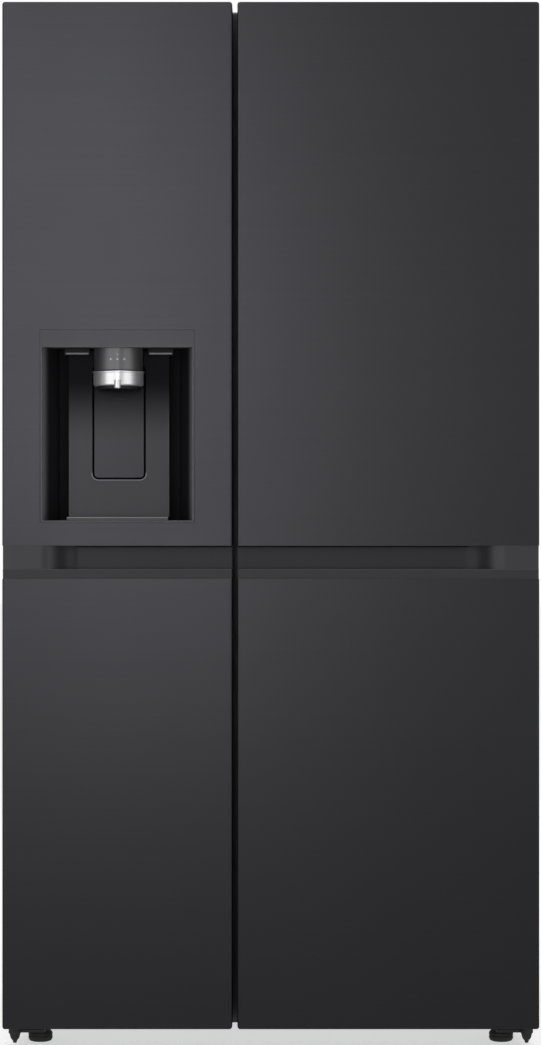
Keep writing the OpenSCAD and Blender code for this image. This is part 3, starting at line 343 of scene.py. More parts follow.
def tub(start, end, wall, floor, corner, axis=Z, foot=0.0, inner=None, rim=0.8 * MM, fillet=0.0):
    """A box that is open at its end along an axis, with round corners, a round rim and a round foot."""
    start, end = Vector(start), Vector(end)
    bm = slab(start, end)
    mouth = [f for f in bm.faces if f.normal[axis] > 0.9]
    bmesh.ops.inset_region(bm, faces=mouth, thickness=wall, use_even_offset=True)
    sunk = bmesh.ops.extrude_discrete_faces(bm, faces=mouth)["faces"]
    floor_at = start[axis] + floor
    drop = Vector((0, 0, 0))
    drop[axis] = floor_at - end[axis]
    bmesh.ops.translate(bm, vec=drop, verts=list({v: None for f in sunk for v in f.verts}))
    if corner:
        outside = [e for e in bm.edges if runs_along(e, axis) and not reaches(e, axis, floor_at)]
        rounded(bm, outside, corner, 6)
    inner_radius = max(corner - wall, 0.0) if inner is None else inner
    if inner_radius:
        inside = [e for e in bm.edges if runs_along(e, axis) and reaches(e, axis, floor_at)]
        rounded(bm, inside, inner_radius, 6)
    if foot:
        rounded(bm, [e for e in edges_at(bm, axis, start[axis]) if is_sharp(e)], foot, 3)
    if fillet:
        rounded(bm, [e for e in edges_at(bm, axis, floor_at) if is_sharp(e)], fillet, 4)
    rounded(bm, [e for e in edges_at(bm, axis, end[axis]) if is_sharp(e)], rim, 3)
    return bm


def aimed(axis, place):
    """Turns +Z to an axis and moves the origin to a place."""
    return Matrix.Translation(Vector(place)) @ Vector(axis).to_track_quat("Z", "Y").to_matrix().to_4x4()


def turned(profile, place, axis=(0, 0, 1), segments=48, closed=False):
    """A profile of (radius, height) points turned about an axis through a place."""
    bm = bmesh.new()
    verts = [bm.verts.new((radius, 0, height)) for radius, height in profile]
    edges = [bm.edges.new(pair) for pair in zip(verts, verts[1:])]
    if closed:
        edges.append(bm.edges.new((verts[-1], verts[0])))
    bmesh.ops.spin(bm, geom=verts + edges, cent=(0, 0, 0), axis=(0, 0, 1), angle=2 * math.pi, steps=segments,
                   use_merge=True)
    bmesh.ops.remove_doubles(bm, verts=bm.verts, dist=MERGE)
    bmesh.ops.recalc_face_normals(bm, faces=bm.faces)
    return moved(bm, aimed(axis, place))


def rod(start, end, radius, rim=0.0, segments=32):
    """A round bar with its end edges rounded."""
    start, end = Vector(start), Vector(end)
    length = (end - start).length
    rim = max(rim, 0.05 * MM)
    profile = [(0, 0), (radius - rim, 0), (radius - 0.3 * rim, 0.3 * rim), (radius, rim)]
    profile += [(r, length - h) for r, h in reversed(profile)]
    return turned(profile, start, end - start, segments)


def moulding(start, end, profile):
    """A closed profile of (outward, y) points, mitred round a rectangle that faces the front."""
    bm = bmesh.new()
    verts = [bm.verts.new((start[X] - out, y, start[Z] - out)) for out, y in profile]
    loop = [bm.edges.new(pair) for pair in zip(verts, verts[1:] + verts[:1])]
    for axis in (X, Z, X, Z):
        grown = bmesh.ops.extrude_edge_only(bm, edges=loop)["geom"]
        for vert in [g for g in grown if isinstance(g, bmesh.types.BMVert)]:
            vert.co[axis] = start[axis] + end[axis] - vert.co[axis]
        loop = [g for g in grown if isinstance(g, bmesh.types.BMEdge) and len(g.link_faces) == 1]
    bmesh.ops.remove_doubles(bm, verts=bm.verts, dist=MERGE)
    bmesh.ops.recalc_face_normals(bm, faces=bm.faces)
    return bm


def drawn(outline, axis, start, end, rim=0.0, degrees=30):
    """A closed outline in the other two axes, in X, Y, Z order, drawn out along an axis."""
    bm = bmesh.new()
    places = []
    for first, second in outline:
        place = [first, second]
        place.insert(axis, start)
        places.append(bm.verts.new(place))
    grown = bmesh.ops.extrude_face_region(bm, geom=[bm.faces.new(places)])["geom"]
    shift = Vector((0, 0, 0))
    shift[axis] = end - start
    bmesh.ops.translate(bm, vec=shift, verts=[g for g in grown if isinstance(g, bmesh.types.BMVert)])
    bmesh.ops.recalc_face_normals(bm, faces=bm.faces)
    if rim:
        rounded(bm, [e for e in bm.edges if is_sharp(e, degrees)], rim, 3)
    return bm


def arc(centre, radius, start, end, steps=6):
    """Points on an arc, between two angles in degrees."""
    angles = [math.radians(start + (end - start) * i / steps) for i in range(steps + 1)]
    return [(centre[0] + radius * math.cos(a), centre[1] + radius * math.sin(a)) for a in angles]


def cut_back(bm, y):
    """Cuts away what lies behind y and closes the cut."""
    geometry = bm.verts[:] + bm.edges[:] + bm.faces[:]
    cut = bmesh.ops.bisect_plane(bm, geom=geometry, plane_co=(0, y, 0), plane_no=(0, 1, 0), clear_outer=True)
    bmesh.ops.edgenet_fill(bm, edges=[g for g in cut["geom_cut"] if isinstance(g, bmesh.types.BMEdge)])
    bmesh.ops.recalc_face_normals(bm, faces=bm.faces)
    return bm


def screw(place, axis, radius=4 * MM, height=1.6 * MM):
    """A pan-head screw with a round socket, standing on a surface."""
    socket = 0.4 * radius
    return turned([(0, 0.4 * height), (0.7 * socket, 0.45 * height), (socket, height),
                   (0.75 * radius, 0.85 * height), (0.95 * radius, 0.5 * height), (radius, 0),
                   (radius, -1 * MM), (0, -1 * MM)], place, axis, 20)


# ---------- pieces ----------

def piece(name, shapes, material, body, stands_for=(), sharp=40):
    """One or more shapes joined into a finished piece that rides on a body."""
    bm = bmesh.new()
    for shape in shapes:
        part = bpy.data.meshes.new("shape")
        shape.to_mesh(part)
        shape.free()
        bm.from_mesh(part)
        bpy.data.meshes.remove(part)
    mesh = bpy.data.meshes.new(name)
    bm.to_mesh(mesh)
    bm.free()
    mesh.materials.append(material)
    mesh.shade_smooth()
    mesh.set_sharp_from_angle(angle=math.radians(sharp))
    obj = bpy.data.objects.new(name, mesh)
    bpy.context.scene.collection.objects.link(obj)
    shading = obj.modifiers.new("even_shading", "WEIGHTED_NORMAL")
    shading.keep_sharp = True
    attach(obj, body)
    if stands_for:
        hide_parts(*stands_for)
    return obj


def piece_for(node, shapes, material=None, name=None, sharp=40):
    """A piece that stands for one CAD node and takes its body and slot."""
    slot = slot_of_node[node]
    return piece(name or node + "_finished", shapes, material or FINISH_OF_SLOT[slot], body_of_node[node],
                 [node], sharp)


def merged_copy(node):
    bm = bmesh.new()
    bm.from_mesh(nodes[node].data)
    bmesh.ops.remove_doubles(bm, verts=bm.verts, dist=0.002 * MM)
    bmesh.ops.dissolve_limit(bm, angle_limit=math.radians(0.5), verts=bm.verts, edges=bm.edges)
    return bm


def softened(node, radius, segments=2, degrees=50, material=None, keep=None):
    """The CAD node with its sharp edges rounded; keep is a test that picks the edges."""
    bm = merged_copy(node)
    rounded(bm, [e for e in bm.edges if is_sharp(e, degrees) and (keep is None or keep(e))], radius, segments)
    return piece_for(node, [bm], material)


def solids_of(node):
    """The boxes of a CAD node's separate solids, from the lowest up and then from left to right."""
    bm = merged_copy(node)
    waiting = {v: None for v in bm.verts}
    boxes = []
    while waiting:
        first, _ = waiting.popitem()
        group, reached = [first], [first]
        while reached:
            for edge in reached.pop().link_edges:
                for vert in edge.verts:
                    if vert in waiting:
                        del waiting[vert]
                        group.append(vert)
                        reached.append(vert)
        places = [v.co for v in group]
        boxes.append((Vector([min(p[i] for p in places) for i in range(3)]),
                      Vector([max(p[i] for p in places) for i in range(3)])))
    bm.free()
    return sorted(boxes, key=lambda b: (round(b[0].z, 4), round(b[0].x, 4)))


# ---------- case ----------

LINER_T = 2 * MM
LINER_R = 11 * MM
FRAME_BACK_Y = high["front_frame"].y

for node in ("side_panel_left", "side_panel_right", "top_panel"):
    softened(node, 0.45 * MM)
softened("top_covers", 1.5 * MM, 3, 20)
for node in ("top_hinge_left", "top_hinge_right", "bottom_hinge_left", "bottom_hinge_right"):
    softened(node, 0.6 * MM)


def back_sheet():
    """The zinc-coated back, with stiffening beads, foam-hole covers and screws round its edge."""
    start, end = low["back_panel"], high["back_panel"]
    bead_w, bead_h, inset = 34 * MM, 1.6 * MM, 130 * MM
    plug_x, plug_inset, top_screw_x = 350 * MM, 250 * MM, 220 * MM
    shapes = [slab(start, end, rim=0.3 * MM)]
    for x in (-240 * MM, -80 * MM, 80 * MM, 240 * MM):
        shapes.append(slab((x - bead_w / 2, end.y - 0.5 * MM, start.z + inset),
                           (x + bead_w / 2, end.y + bead_h, end.z - inset), Y, bead_w * 0.49, 1.2 * MM, 10))
    piece_for("back_panel", shapes)
    plugs = [turned([(0, 1.6 * MM), (17 * MM, 1.6 * MM), (20 * MM, 1.2 * MM), (22 * MM, 0),
                     (22 * MM, -1 * MM), (0, -1 * MM)], (x, end.y, z), (0, 1, 0), 40)
             for x in (-plug_x, plug_x) for z in (start.z + plug_inset, end.z - plug_inset)]
    piece("foam_hole_covers", plugs, black_plastic, "cabinet")
    edge = 8 * MM
    rows = 7
    places = [(x, end.y, start.z + edge + (end.z - start.z - 2 * edge) * i / (rows - 1))
              for x in (start.x + edge, end.x - edge) for i in range(rows)]
    places += [(x, end.y, end.z - edge) for x in (-top_screw_x, 0, top_screw_x)]
    piece("back_screws", [screw(place, (0, 1, 0)) for place in places], plain_steel, "cabinet")


def inner_liner(side, shelf_nodes):
    """The moulded liner of one compartment, with round corners, shelf rails and a ceiling lamp."""
    node = side + "_liner"
    bm = merged_copy(node)
    start, end = low[node], high[node]
    wall_area = 0.02
    broad = [f for f in bm.faces if f.calc_area() > wall_area]
    floor_levels = sorted({round(f.calc_center_median().z, 5) for f in broad if f.normal.z > 0.99})
    back_walls = sorted({round(f.calc_center_median().y, 5) for f in broad if f.normal.y < -0.99})
    bm.free()
    x0, x1 = start.x + LINER_T, end.x - LINER_T
    floor_z, step_z = floor_levels[0], floor_levels[1]
    step_y, back_y = back_walls[0], back_walls[-1]
    top_z = end.z - LINER_T
    outline = [(FRAME_BACK_Y, floor_z), (step_y, floor_z), (step_y, step_z), (back_y, step_z),
               (back_y, top_z), (FRAME_BACK_Y, top_z)]
    shell = drawn(outline, X, x0, x1)
    bmesh.ops.delete(shell, geom=[f for f in shell.faces if f.normal.y < -0.9 and
                                  abs(f.calc_center_median().y - FRAME_BACK_Y) < 0.1 * MM],
                     context="FACES_ONLY")
    loose = [e for e in shell.edges if not e.link_faces]
    bmesh.ops.delete(shell, geom=loose, context="EDGES")
    rounded(shell, [e for e in shell.edges if is_sharp(e)], LINER_R, 5)
    bmesh.ops.reverse_faces(shell, faces=shell.faces)
    bmesh.ops.solidify(shell, geom=shell.faces, thickness=-LINER_T * 0.9)
    shapes = [shell]
    rail_w, rail_h, rail_gap = 6 * MM, 8 * MM, 30 * MM
    for shelf_node in shelf_nodes:
        for shelf_low, shelf_high in solids_of(shelf_node):
            z = shelf_high.z - 5 * MM
            for wall, inward in ((x0, 1), (x1, -1)):
                ends = sorted((wall - inward * MM, wall + inward * rail_w))
                shapes.append(slab((ends[0], shelf_low.y + rail_gap, z - rail_h),
                                   (ends[1], shelf_high.y - rail_gap, z), rim=2 * MM))
    flange = [(-0.8 * MM, FRAME_BACK_Y + 9 * MM), (-0.8 * MM, CASE_FRONT_Y - 0.3 * MM),
              (-0.2 * MM, CASE_FRONT_Y - 0.9 * MM), (1.6 * MM, CASE_FRONT_Y - 0.9 * MM),
              (2.2 * MM, CASE_FRONT_Y - 0.3 * MM), (2.2 * MM, CASE_FRONT_Y), (0, CASE_FRONT_Y),
              (0, FRAME_BACK_Y + 9 * MM)]
    shapes.append(moulding((x0, 0, floor_z), (x1, 0, top_z), flange))
    piece_for(node, shapes, sharp=30)
    middle, lamp_y = (x0 + x1) / 2, CASE_FRONT_Y + 140 * MM
    half_w, half_d, border = 85 * MM, 32 * MM, 10 * MM
    surround = slab((middle - half_w, lamp_y - half_d, top_z - 5 * MM),
                    (middle + half_w, lamp_y + half_d, top_z + MM), Z, 10 * MM, 1.5 * MM)
    piece(side + "_lamp_frame", [surround], trim_white, "cabinet")
    half_w, half_d = half_w - border, half_d - border
    lens = slab((middle - half_w, lamp_y - half_d, top_z - 7 * MM),
                (middle + half_w, lamp_y + half_d, top_z - 4 * MM), Z, 8 * MM, 1.2 * MM)
    piece(side + "_lamp_lens", [lens], lamp_light, "cabinet")


def glass_shelves(node):
    """Tempered glass in a moulded frame, with a bright strip along the front."""
    glass, frames, strips = [], [], []
    for start, end in solids_of(node):
        frame_w, trim_d = 13 * MM, 12 * MM
        glass_z = end.z - 4.4 * MM
        glass.append(slab((start.x + 4 * MM, start.y + 8 * MM, glass_z),
                          (end.x - 4 * MM, end.y - 4 * MM, end.z - 0.6 * MM), Z, 4 * MM, 0.4 * MM))
        for x in (start.x, end.x - frame_w):
            frames.append(slab((x, start.y + trim_d - MM, end.z - 5 * MM), (x + frame_w, end.y, end.z),
                               Z, 3 * MM, 1 * MM))
        frames.append(slab((start.x, end.y - frame_w, end.z - 5 * MM), (end.x, end.y, end.z),
                           Z, 3 * MM, 1 * MM))
        frames.append(slab((start.x + 4 * MM, start.y, start.z), (end.x - 4 * MM, start.y + trim_d, end.z),
                           Z, 3 * MM, 2 * MM))
        strips.append(slab((start.x + 9 * MM, start.y - 0.3 * MM, start.z + 4 * MM),
                           (end.x - 9 * MM, start.y + 2 * MM, end.z - 4 * MM), Y, 2 * MM, 0.25 * MM))
    name = node + ("_glass" if "shelves" in node else "_pane")
    piece_for(node, glass, shelf_glass, name)
    piece(node + "_frames", frames, trim_white, "cabinet", [node])
    piece(node + "_strips", strips, trim_silver, "cabinet", [node])


def drawer(node):
    """A clear drawer with round corners, a framed front and a grip across its top."""
    start, end = low[node], high[node]
    ledge_d = 10 * MM
    front_y = start.y + ledge_d
    body = body_of_node[node]
    box = tub((start.x, front_y + 2 * MM, start.z), end, 3 * MM, 3 * MM, 14 * MM, foot=6 * MM, rim=1 * MM,
              fillet=5 * MM)
    face = slab((start.x, front_y, start.z + 2 * MM), (end.x, front_y + 5 * MM, end.z - 30 * MM),
                Y, 10 * MM, 2 * MM)
    runners = [slab((x, front_y + 30 * MM, end.z - 9 * MM), (x + 5 * MM, end.y - 20 * MM, end.z - 4 * MM),
                    rim=1 * MM)
               for x in (start.x - 0.5 * MM, end.x - 4.5 * MM)]
    piece_for(node, [box, face] + runners, clear_plastic, node + "_tub")
    top = end.z
    grip = [(front_y + 7 * MM, top), (front_y - 5 * MM, top), (front_y - 9 * MM, top - 2 * MM),
            (front_y - 10 * MM, top - 6 * MM), (front_y - 10 * MM, top - 25 * MM),
            (front_y - 8 * MM, top - 29 * MM), (front_y - 6 * MM, top - 29 * MM),
            (front_y - 6 * MM, top - 9 * MM), (front_y - 1 * MM, top - 6 * MM),
            (front_y - 1 * MM, top - 32 * MM), (front_y + 7 * MM, top - 32 * MM)]
    piece(node + "_grip", [drawn(grip, X, start.x, end.x, 0.8 * MM)], trim_white, body, [node])
    strip = slab((start.x + 12 * MM, start.y - 0.2 * MM, top - 23 * MM),
                 (end.x - 12 * MM, start.y + 2 * MM, top - 8 * MM), Y, 2 * MM, 0.2 * MM)
    piece(node + "_grip_strip", [strip], trim_silver, body, [node])


def duct_cover():
    """The fridge's air duct with its outlets and a lit strip down its middle."""
    softened("air_duct", 1.6 * MM, 3)
    start, end = low["air_duct"], high["air_duct"]
    middle, inset = (start.x + end.x) / 2, 50 * MM
    strip = slab((middle - 9 * MM, start.y - 1.5 * MM, start.z + inset),
                 (middle + 9 * MM, start.y + 2 * MM, end.z - inset), Y, 8.5 * MM, 1 * MM, 8)
    piece("duct_light", [strip], lamp_light, "cabinet")


def machine_cover():
    """The machine compartment's cover, with the screws that hold it."""
    softened("machine_cover", 0.4 * MM)
    start, end = low["machine_cover"], high["machine_cover"]
    inset, inner_x = 11 * MM, 100 * MM
    places = [(x, CASE_BACK_Y, z) for x in (start.x + inset, -inner_x, inner_x, end.x - inset)
              for z in (start.z + inset, end.z - inset)]
    piece("cover_screws", [screw(place, (0, 1, 0)) for place in places], plain_steel, "cabinet")


def compressor():
    """The compressor's welded shell on its plate and rubber mounts, with the relay box at its side."""
    start, end = low["compressor"], high["compressor"]
    x, y = start.x + 100 * MM, (start.y + end.y) / 2
    shell = turned([(0, 150 * MM), (30 * MM, 149 * MM), (55 * MM, 143 * MM), (69 * MM, 129 * MM),
                    (73 * MM, 112 * MM), (73 * MM, 82 * MM), (74 * MM, 82 * MM), (74 * MM, 77 * MM),
                    (73 * MM, 77 * MM), (73 * MM, 40 * MM), (68 * MM, 20 * MM), (52 * MM, 7 * MM),
                    (30 * MM, 2 * MM), (0, 0)], (x, y, start.z + 12 * MM))
    plate = slab((x - 100 * MM, start.y, start.z + 10 * MM), (x + 100 * MM, end.y, start.z + 13 * MM),
                 Z, 12 * MM, 1 * MM)
    relay = slab((x + 66 * MM, y - 26 * MM, start.z + 70 * MM), (end.x, y + 26 * MM, start.z + 130 * MM),
                 X, 5 * MM, 2 * MM)
    mounts = [turned([(0, 0), (9 * MM, 0), (9 * MM, 4 * MM), (6 * MM, 5.5 * MM), (9 * MM, 7 * MM),
                      (9 * MM, 10.5 * MM), (4 * MM, 14 * MM), (0, 14 * MM)], (x + dx, y + dy, start.z))
              for dx in (-85 * MM, 85 * MM) for dy in (-60 * MM, 60 * MM)]
    piece_for("compressor", [shell, plate, relay] + mounts)


def water_valve():
    """The water valve: a threaded inlet with its flange, the valve's body and its bracket."""
    start, end = low["water_valve"], high["water_valve"]
    inlet_r, thread_l = 13.2 * MM, 14 * MM
    valve_x = start.x + 22 * MM
    valve_z = (start.z + end.z) / 2
    thread = [(inlet_r - 1.2 * MM, -thread_l - MM)]
    turns = 6
    for i in range(turns):
        base = -thread_l + thread_l * (i + 0.2) / turns
        thread += [(inlet_r - 1.2 * MM, base), (inlet_r, base + 0.8 * MM)]
    thread += [(inlet_r - MM, 0), (8.4 * MM, 0), (8 * MM, -0.4 * MM), (8 * MM, -thread_l - MM)]
    thread_shape = turned(thread, (valve_x, end.y, valve_z), (0, 1, 0), 48, closed=True)
    flange = rod((valve_x, end.y - thread_l - 26 * MM, valve_z), (valve_x, end.y - thread_l + MM, valve_z),
                 inlet_r + 4 * MM, 1.5 * MM, 6)
    coil_y = end.y - 90 * MM
    body = slab((valve_x - 22 * MM, coil_y, valve_z - 24 * MM),
                (valve_x + 22 * MM, end.y - 39 * MM, valve_z + 24 * MM), Y, 4 * MM, 2 * MM)
    bracket = slab((valve_x + 10 * MM, end.y - 80 * MM, valve_z - 20 * MM),
                   (end.x, end.y - 77 * MM, valve_z + 20 * MM), Y, 4 * MM, 0.5 * MM)
    piece_for("water_valve", [thread_shape, flange, body, bracket])


def foot(node):
    """A levelling foot: a pad, a nut and a threaded stem."""
    start, end = low[node], high[node]
    x, y, r = (start.x + end.x) / 2, (start.y + end.y) / 2, (end.x - start.x) / 2
    stem_r, nut_r, pad_h = 6 * MM, 10.5 * MM, 20 * MM
    pad = turned([(0, 0), (r - 6 * MM, 0), (r - 2 * MM, 1.5 * MM), (r, 5.5 * MM), (r, 9 * MM),
                  (r - MM, 10 * MM), (r, 11 * MM), (r, 15 * MM), (r - 3 * MM, pad_h - MM),
                  (r - 6 * MM, pad_h), (0, pad_h)], (x, y, 0))
    nut = rod((x, y, pad_h - MM), (x, y, pad_h + 3.5 * MM), nut_r, 0.8 * MM, 6)
    ridge_h = 1.5 * MM
    profile = [(0, pad_h + MM)]
    level = pad_h + MM
    while level < end.z - 2 * ridge_h:
        profile += [(stem_r - 0.6 * MM, level), (stem_r, level + ridge_h / 2)]
        level += ridge_h
    profile += [(stem_r - 0.6 * MM, level), (stem_r - 1.5 * MM, end.z), (0, end.z)]
    piece_for(node, [pad, nut, turned(profile, (x, y, 0), segments=24)])


def roller(node):
    """A rear roller, with a groove round its tread."""
    start, end = low[node], high[node]
    y, z = (start.y + end.y) / 2, (start.z + end.z) / 2
    r, half = (end.z - start.z) / 2, (end.x - start.x) / 2
    bore = 4.1 * MM
    tread = [(bore, -half), (9 * MM, -half), (10 * MM, -half + 3 * MM), (r - 6 * MM, -half + 3 * MM),
             (r - 5 * MM, -half), (r - 1.5 * MM, -half), (r, -half + 1.5 * MM), (r, -2 * MM),
             (r - MM, -MM), (r - MM, MM), (r, 2 * MM), (r, half - 1.5 * MM), (r - 1.5 * MM, half),
             (r - 5 * MM, half), (r - 6 * MM, half - 3 * MM), (10 * MM, half - 3 * MM),
             (9 * MM, half), (bore, half)]
    piece_for(node, [turned(tread, ((start.x + end.x) / 2, y, z), (1, 0, 0), closed=True)])


def axles():
    """The two short axles that the rollers turn on."""
    rods = []
    for start, end in solids_of("rear_axles"):
        y, z = (start.y + end.y) / 2, (start.z + end.z) / 2
        rods.append(rod((start.x, y, z), (end.x, y, z), (end.z - start.z) / 2, 0.6 * MM))
    piece_for("rear_axles", rods)


back_sheet()
inner_liner("freezer", ["freezer_shelves"])
inner_liner("fridge", ["crisper_cover", "fridge_shelves"])
for node in ("freezer_shelves", "fridge_shelves", "crisper_cover"):
    glass_shelves(node)
for node in ("freezer_drawer_lower", "freezer_drawer_upper", "crisper_lower", "crisper_upper"):
    drawer(node)
softened("evaporator_cover", 0.8 * MM)
duct_cover()
machine_cover()
compressor()
water_valve()
for side in ("left", "right"):
    foot("foot_" + side)
    roller("rear_roller_" + side)
axles()


# ---------- doors ----------

DISP_Z = (low["dispenser_tray"].z - 0.3 * MM, high["dispenser_head"].z)
GASKET_W = 16 * MM
DIKE_W = 22 * MM
DIKE_H = 40 * MM
DIKE_R = 4.5 * MM


def gasket(side):
    """Bellows gasket: a foot on the door, a folded wall and a flat magnetic lip."""
    node = side + "_door_gasket"
    y0, y1 = low[node].y, high[node].y
    inner = -GASKET_W
    half = [(0, y0), (0, y0 + 1.5 * MM), (-3 * MM, y0 + 3.5 * MM), (-0.5 * MM, y0 + 5.5 * MM),
            (-0.5 * MM, y1 - 1 * MM), (-1.5 * MM, y1)]
    profile = half + [(inner - out, y) for out, y in reversed(half)]
    piece_for(node, [moulding(low[node], high[node], profile)], name=side + "_gasket_bellows")


def eased(t):
    """A rise from 0 to 1 that starts and ends without a slope or a bend."""
    return t * t * t * (t * (t * 6 - 15) + 10)


def handle(side):
    """The handle strip: a plain end that curves back into the finger recess, behind the grip lip."""
    node = side + "_door_handle"
    start, end = low[node], high[node]
    inward = 1 if side == "freezer" else -1
    hinge_x, free_x = (start.x, end.x) if side == "freezer" else (end.x, start.x)
    plain_w = 60 * MM if side == "freezer" else 54 * MM
    front, back, top = start.y, end.y, end.z
    depth, curve_w, lip_h, trough, behind_lip = 29 * MM, 72 * MM, 17 * MM, 10 * MM, 6 * MM
    lip_top = start.z + lip_h
    outline = [(hinge_x, back), (hinge_x, front + 2 * MM), (hinge_x + inward * 0.6 * MM, front + 0.6 * MM),
               (hinge_x + inward * 2 * MM, front)]
    steps = 28
    for i in range(steps + 1):
        t = i / steps
        outline.append((hinge_x + inward * (plain_w + curve_w * t), front + depth * eased(t)))
    outline += [(free_x, front + depth), (free_x, back)]
    block = drawn(outline, Z, lip_top, top)
    base = drawn([(x, max(y, front + behind_lip)) for x, y in outline], Z, lip_top - trough, lip_top)
    roof_r, roof_z = 3 * MM, top - 0.6 * MM
    roof = [(front + MM, top), (front + MM, roof_z)]
    roof += arc((front + depth - roof_r, roof_z - roof_r), roof_r, 90, 0, 4)
    roof += [(front + depth + 2 * MM, roof_z - roof_r), (front + depth + 2 * MM, top)]
    roof_ends = sorted((hinge_x + inward * (plain_w + curve_w * 0.8), free_x))
    lip_front = front - 0.7 * MM
    lip = [(lip_front + 1.35 * MM, start.z + 0.8 * MM), (lip_front + 0.3 * MM, lip_top - MM),
           (lip_front + 0.6 * MM, lip_top - 0.3 * MM), (lip_front + 1.3 * MM, lip_top),
           (lip_front + 5 * MM, lip_top), (lip_front + 5.6 * MM, lip_top - 0.4 * MM),
           (lip_front + 5.8 * MM, lip_top - MM), (lip_front + 5.8 * MM, lip_top - trough + 3 * MM),
           (lip_front + 8 * MM, lip_top - trough), (back, lip_top - trough), (back, start.z),
           (lip_front + 0.5 * MM, start.z), (lip_front + 0.5 * MM, start.z + 0.5 * MM)]
    # painted shade: the finger recess darkens deeper behind the door face
    piece_for(node, [block, base, drawn(roof, X, *roof_ends), drawn(lip, X, start.x, end.x)],
              handle_paint, sharp=12)


def door_liner(side, more):
    """The door's moulded inner skin, with the raised ring that carries the bins."""
    node = side + "_door_liner"
    start, end = low[node], high[node]
    bins = solids_of(side + "_door_bins")
    dike_x = (bins[0][0].x - DIKE_W, bins[0][1].x + DIKE_W)
    case_liner, dike_play = side + "_liner", 6 * MM
    dike_z = (low[case_liner].z + LINER_T + dike_play, high[case_liner].z - LINER_T - dike_play)
    plate = slab((start.x + 0.2 * MM, start.y, start.z), (end.x - 0.2 * MM, DOOR_BACK_Y, end.z),
                 Y, 5 * MM, 0.8 * MM)
    ring = tub((dike_x[0], DOOR_BACK_Y - MM, dike_z[0]), (dike_x[1], DOOR_BACK_Y + DIKE_H, dike_z[1]), DIKE_W,
               1.6 * MM, DIKE_R, axis=Y, inner=7 * MM, rim=DIKE_R, fillet=7 * MM)
    shapes = [plate, ring]
    lug_w, lug_h = 7 * MM, 9 * MM
    for bin_low, bin_high in bins:
        for wall, inward in ((bin_low.x, 1), (bin_high.x, -1)):
            ends = sorted((wall - inward * MM, wall + inward * lug_w))
            shapes.append(slab((ends[0], DOOR_BACK_Y + MM, bin_low.z - lug_h),
                               (ends[1], DOOR_BACK_Y + 32 * MM, bin_low.z - 0.3 * MM), rim=2 * MM))
    piece_for(node, shapes + more, sharp=30)


def door_bins(side):
    """Clear bins with a moulded rail round the top of each."""
    node = side + "_door_bins"
    clear, rails, strips = [], [], []
    rail_h, rail_w, strip_inset = 16 * MM, 3.4 * MM, 60 * MM
    for start, end in solids_of(node):
        clear.append(tub(start, (end.x, end.y - MM, end.z - 2 * MM), 2.5 * MM, 2.5 * MM, 12 * MM, foot=5 * MM,
                         rim=1 * MM, fillet=4 * MM))
        rail = tub((start.x, start.y, end.z - rail_h), end, rail_w, rail_h * 0.2, 12.5 * MM, rim=1.2 * MM)
        low_faces = [f for f in rail.faces if f.calc_center_median().z < end.z - rail_h / 2]
        inside = [f for f in low_faces if f.normal.z > 0.9]
        under = [f for f in low_faces if f.normal.z < -0.9]
        bmesh.ops.inset_region(rail, faces=under, thickness=rail_w, use_even_offset=True)
        bmesh.ops.delete(rail, geom=inside + under, context="FACES")
        bmesh.ops.bridge_loops(rail, edges=[e for e in rail.edges if e.is_boundary])
        rails.append(rail)
        strips.append(slab((start.x + strip_inset, end.y - 2 * MM, end.z - 12 * MM),
                           (end.x - strip_inset, end.y + 0.2 * MM, end.z - 4 * MM), Y, 1.5 * MM, 0.2 * MM))
    body = body_of_node[node]
    piece_for(node, clear, clear_plastic, side + "_bin_tubs")
    piece(side + "_bin_rails", rails, trim_white, body, [node])
    piece(side + "_bin_strips", strips, trim_silver, body, [node])


def door(side, on_liner=()):
    """One door without its bins; on_liner holds more shapes that are moulded into its liner."""
    softened(side + "_door_upper_panel", 0.35 * MM)
    softened(side + "_door_lower_panel", 0.35 * MM)
    softened(side + "_door_caps", 0.6 * MM)
    handle(side)
    gasket(side)
    door_liner(side, list(on_liner))


def dispenser_bulge():
    """The step in the freezer door's liner behind the dispenser."""
    margin, bulge_t = 14 * MM, 30 * MM
    bin_low, bin_high = solids_of("freezer_door_bins")[0]
    return slab((bin_low.x + margin, DOOR_BACK_Y - MM, DISP_Z[0]),
                (bin_high.x - margin, DOOR_BACK_Y + bulge_t, DISP_Z[1]), Y, DIKE_R, DIKE_R)


door("fridge")
door("freezer", [dispenser_bulge()])
door_bins("fridge")
door_bins("freezer")


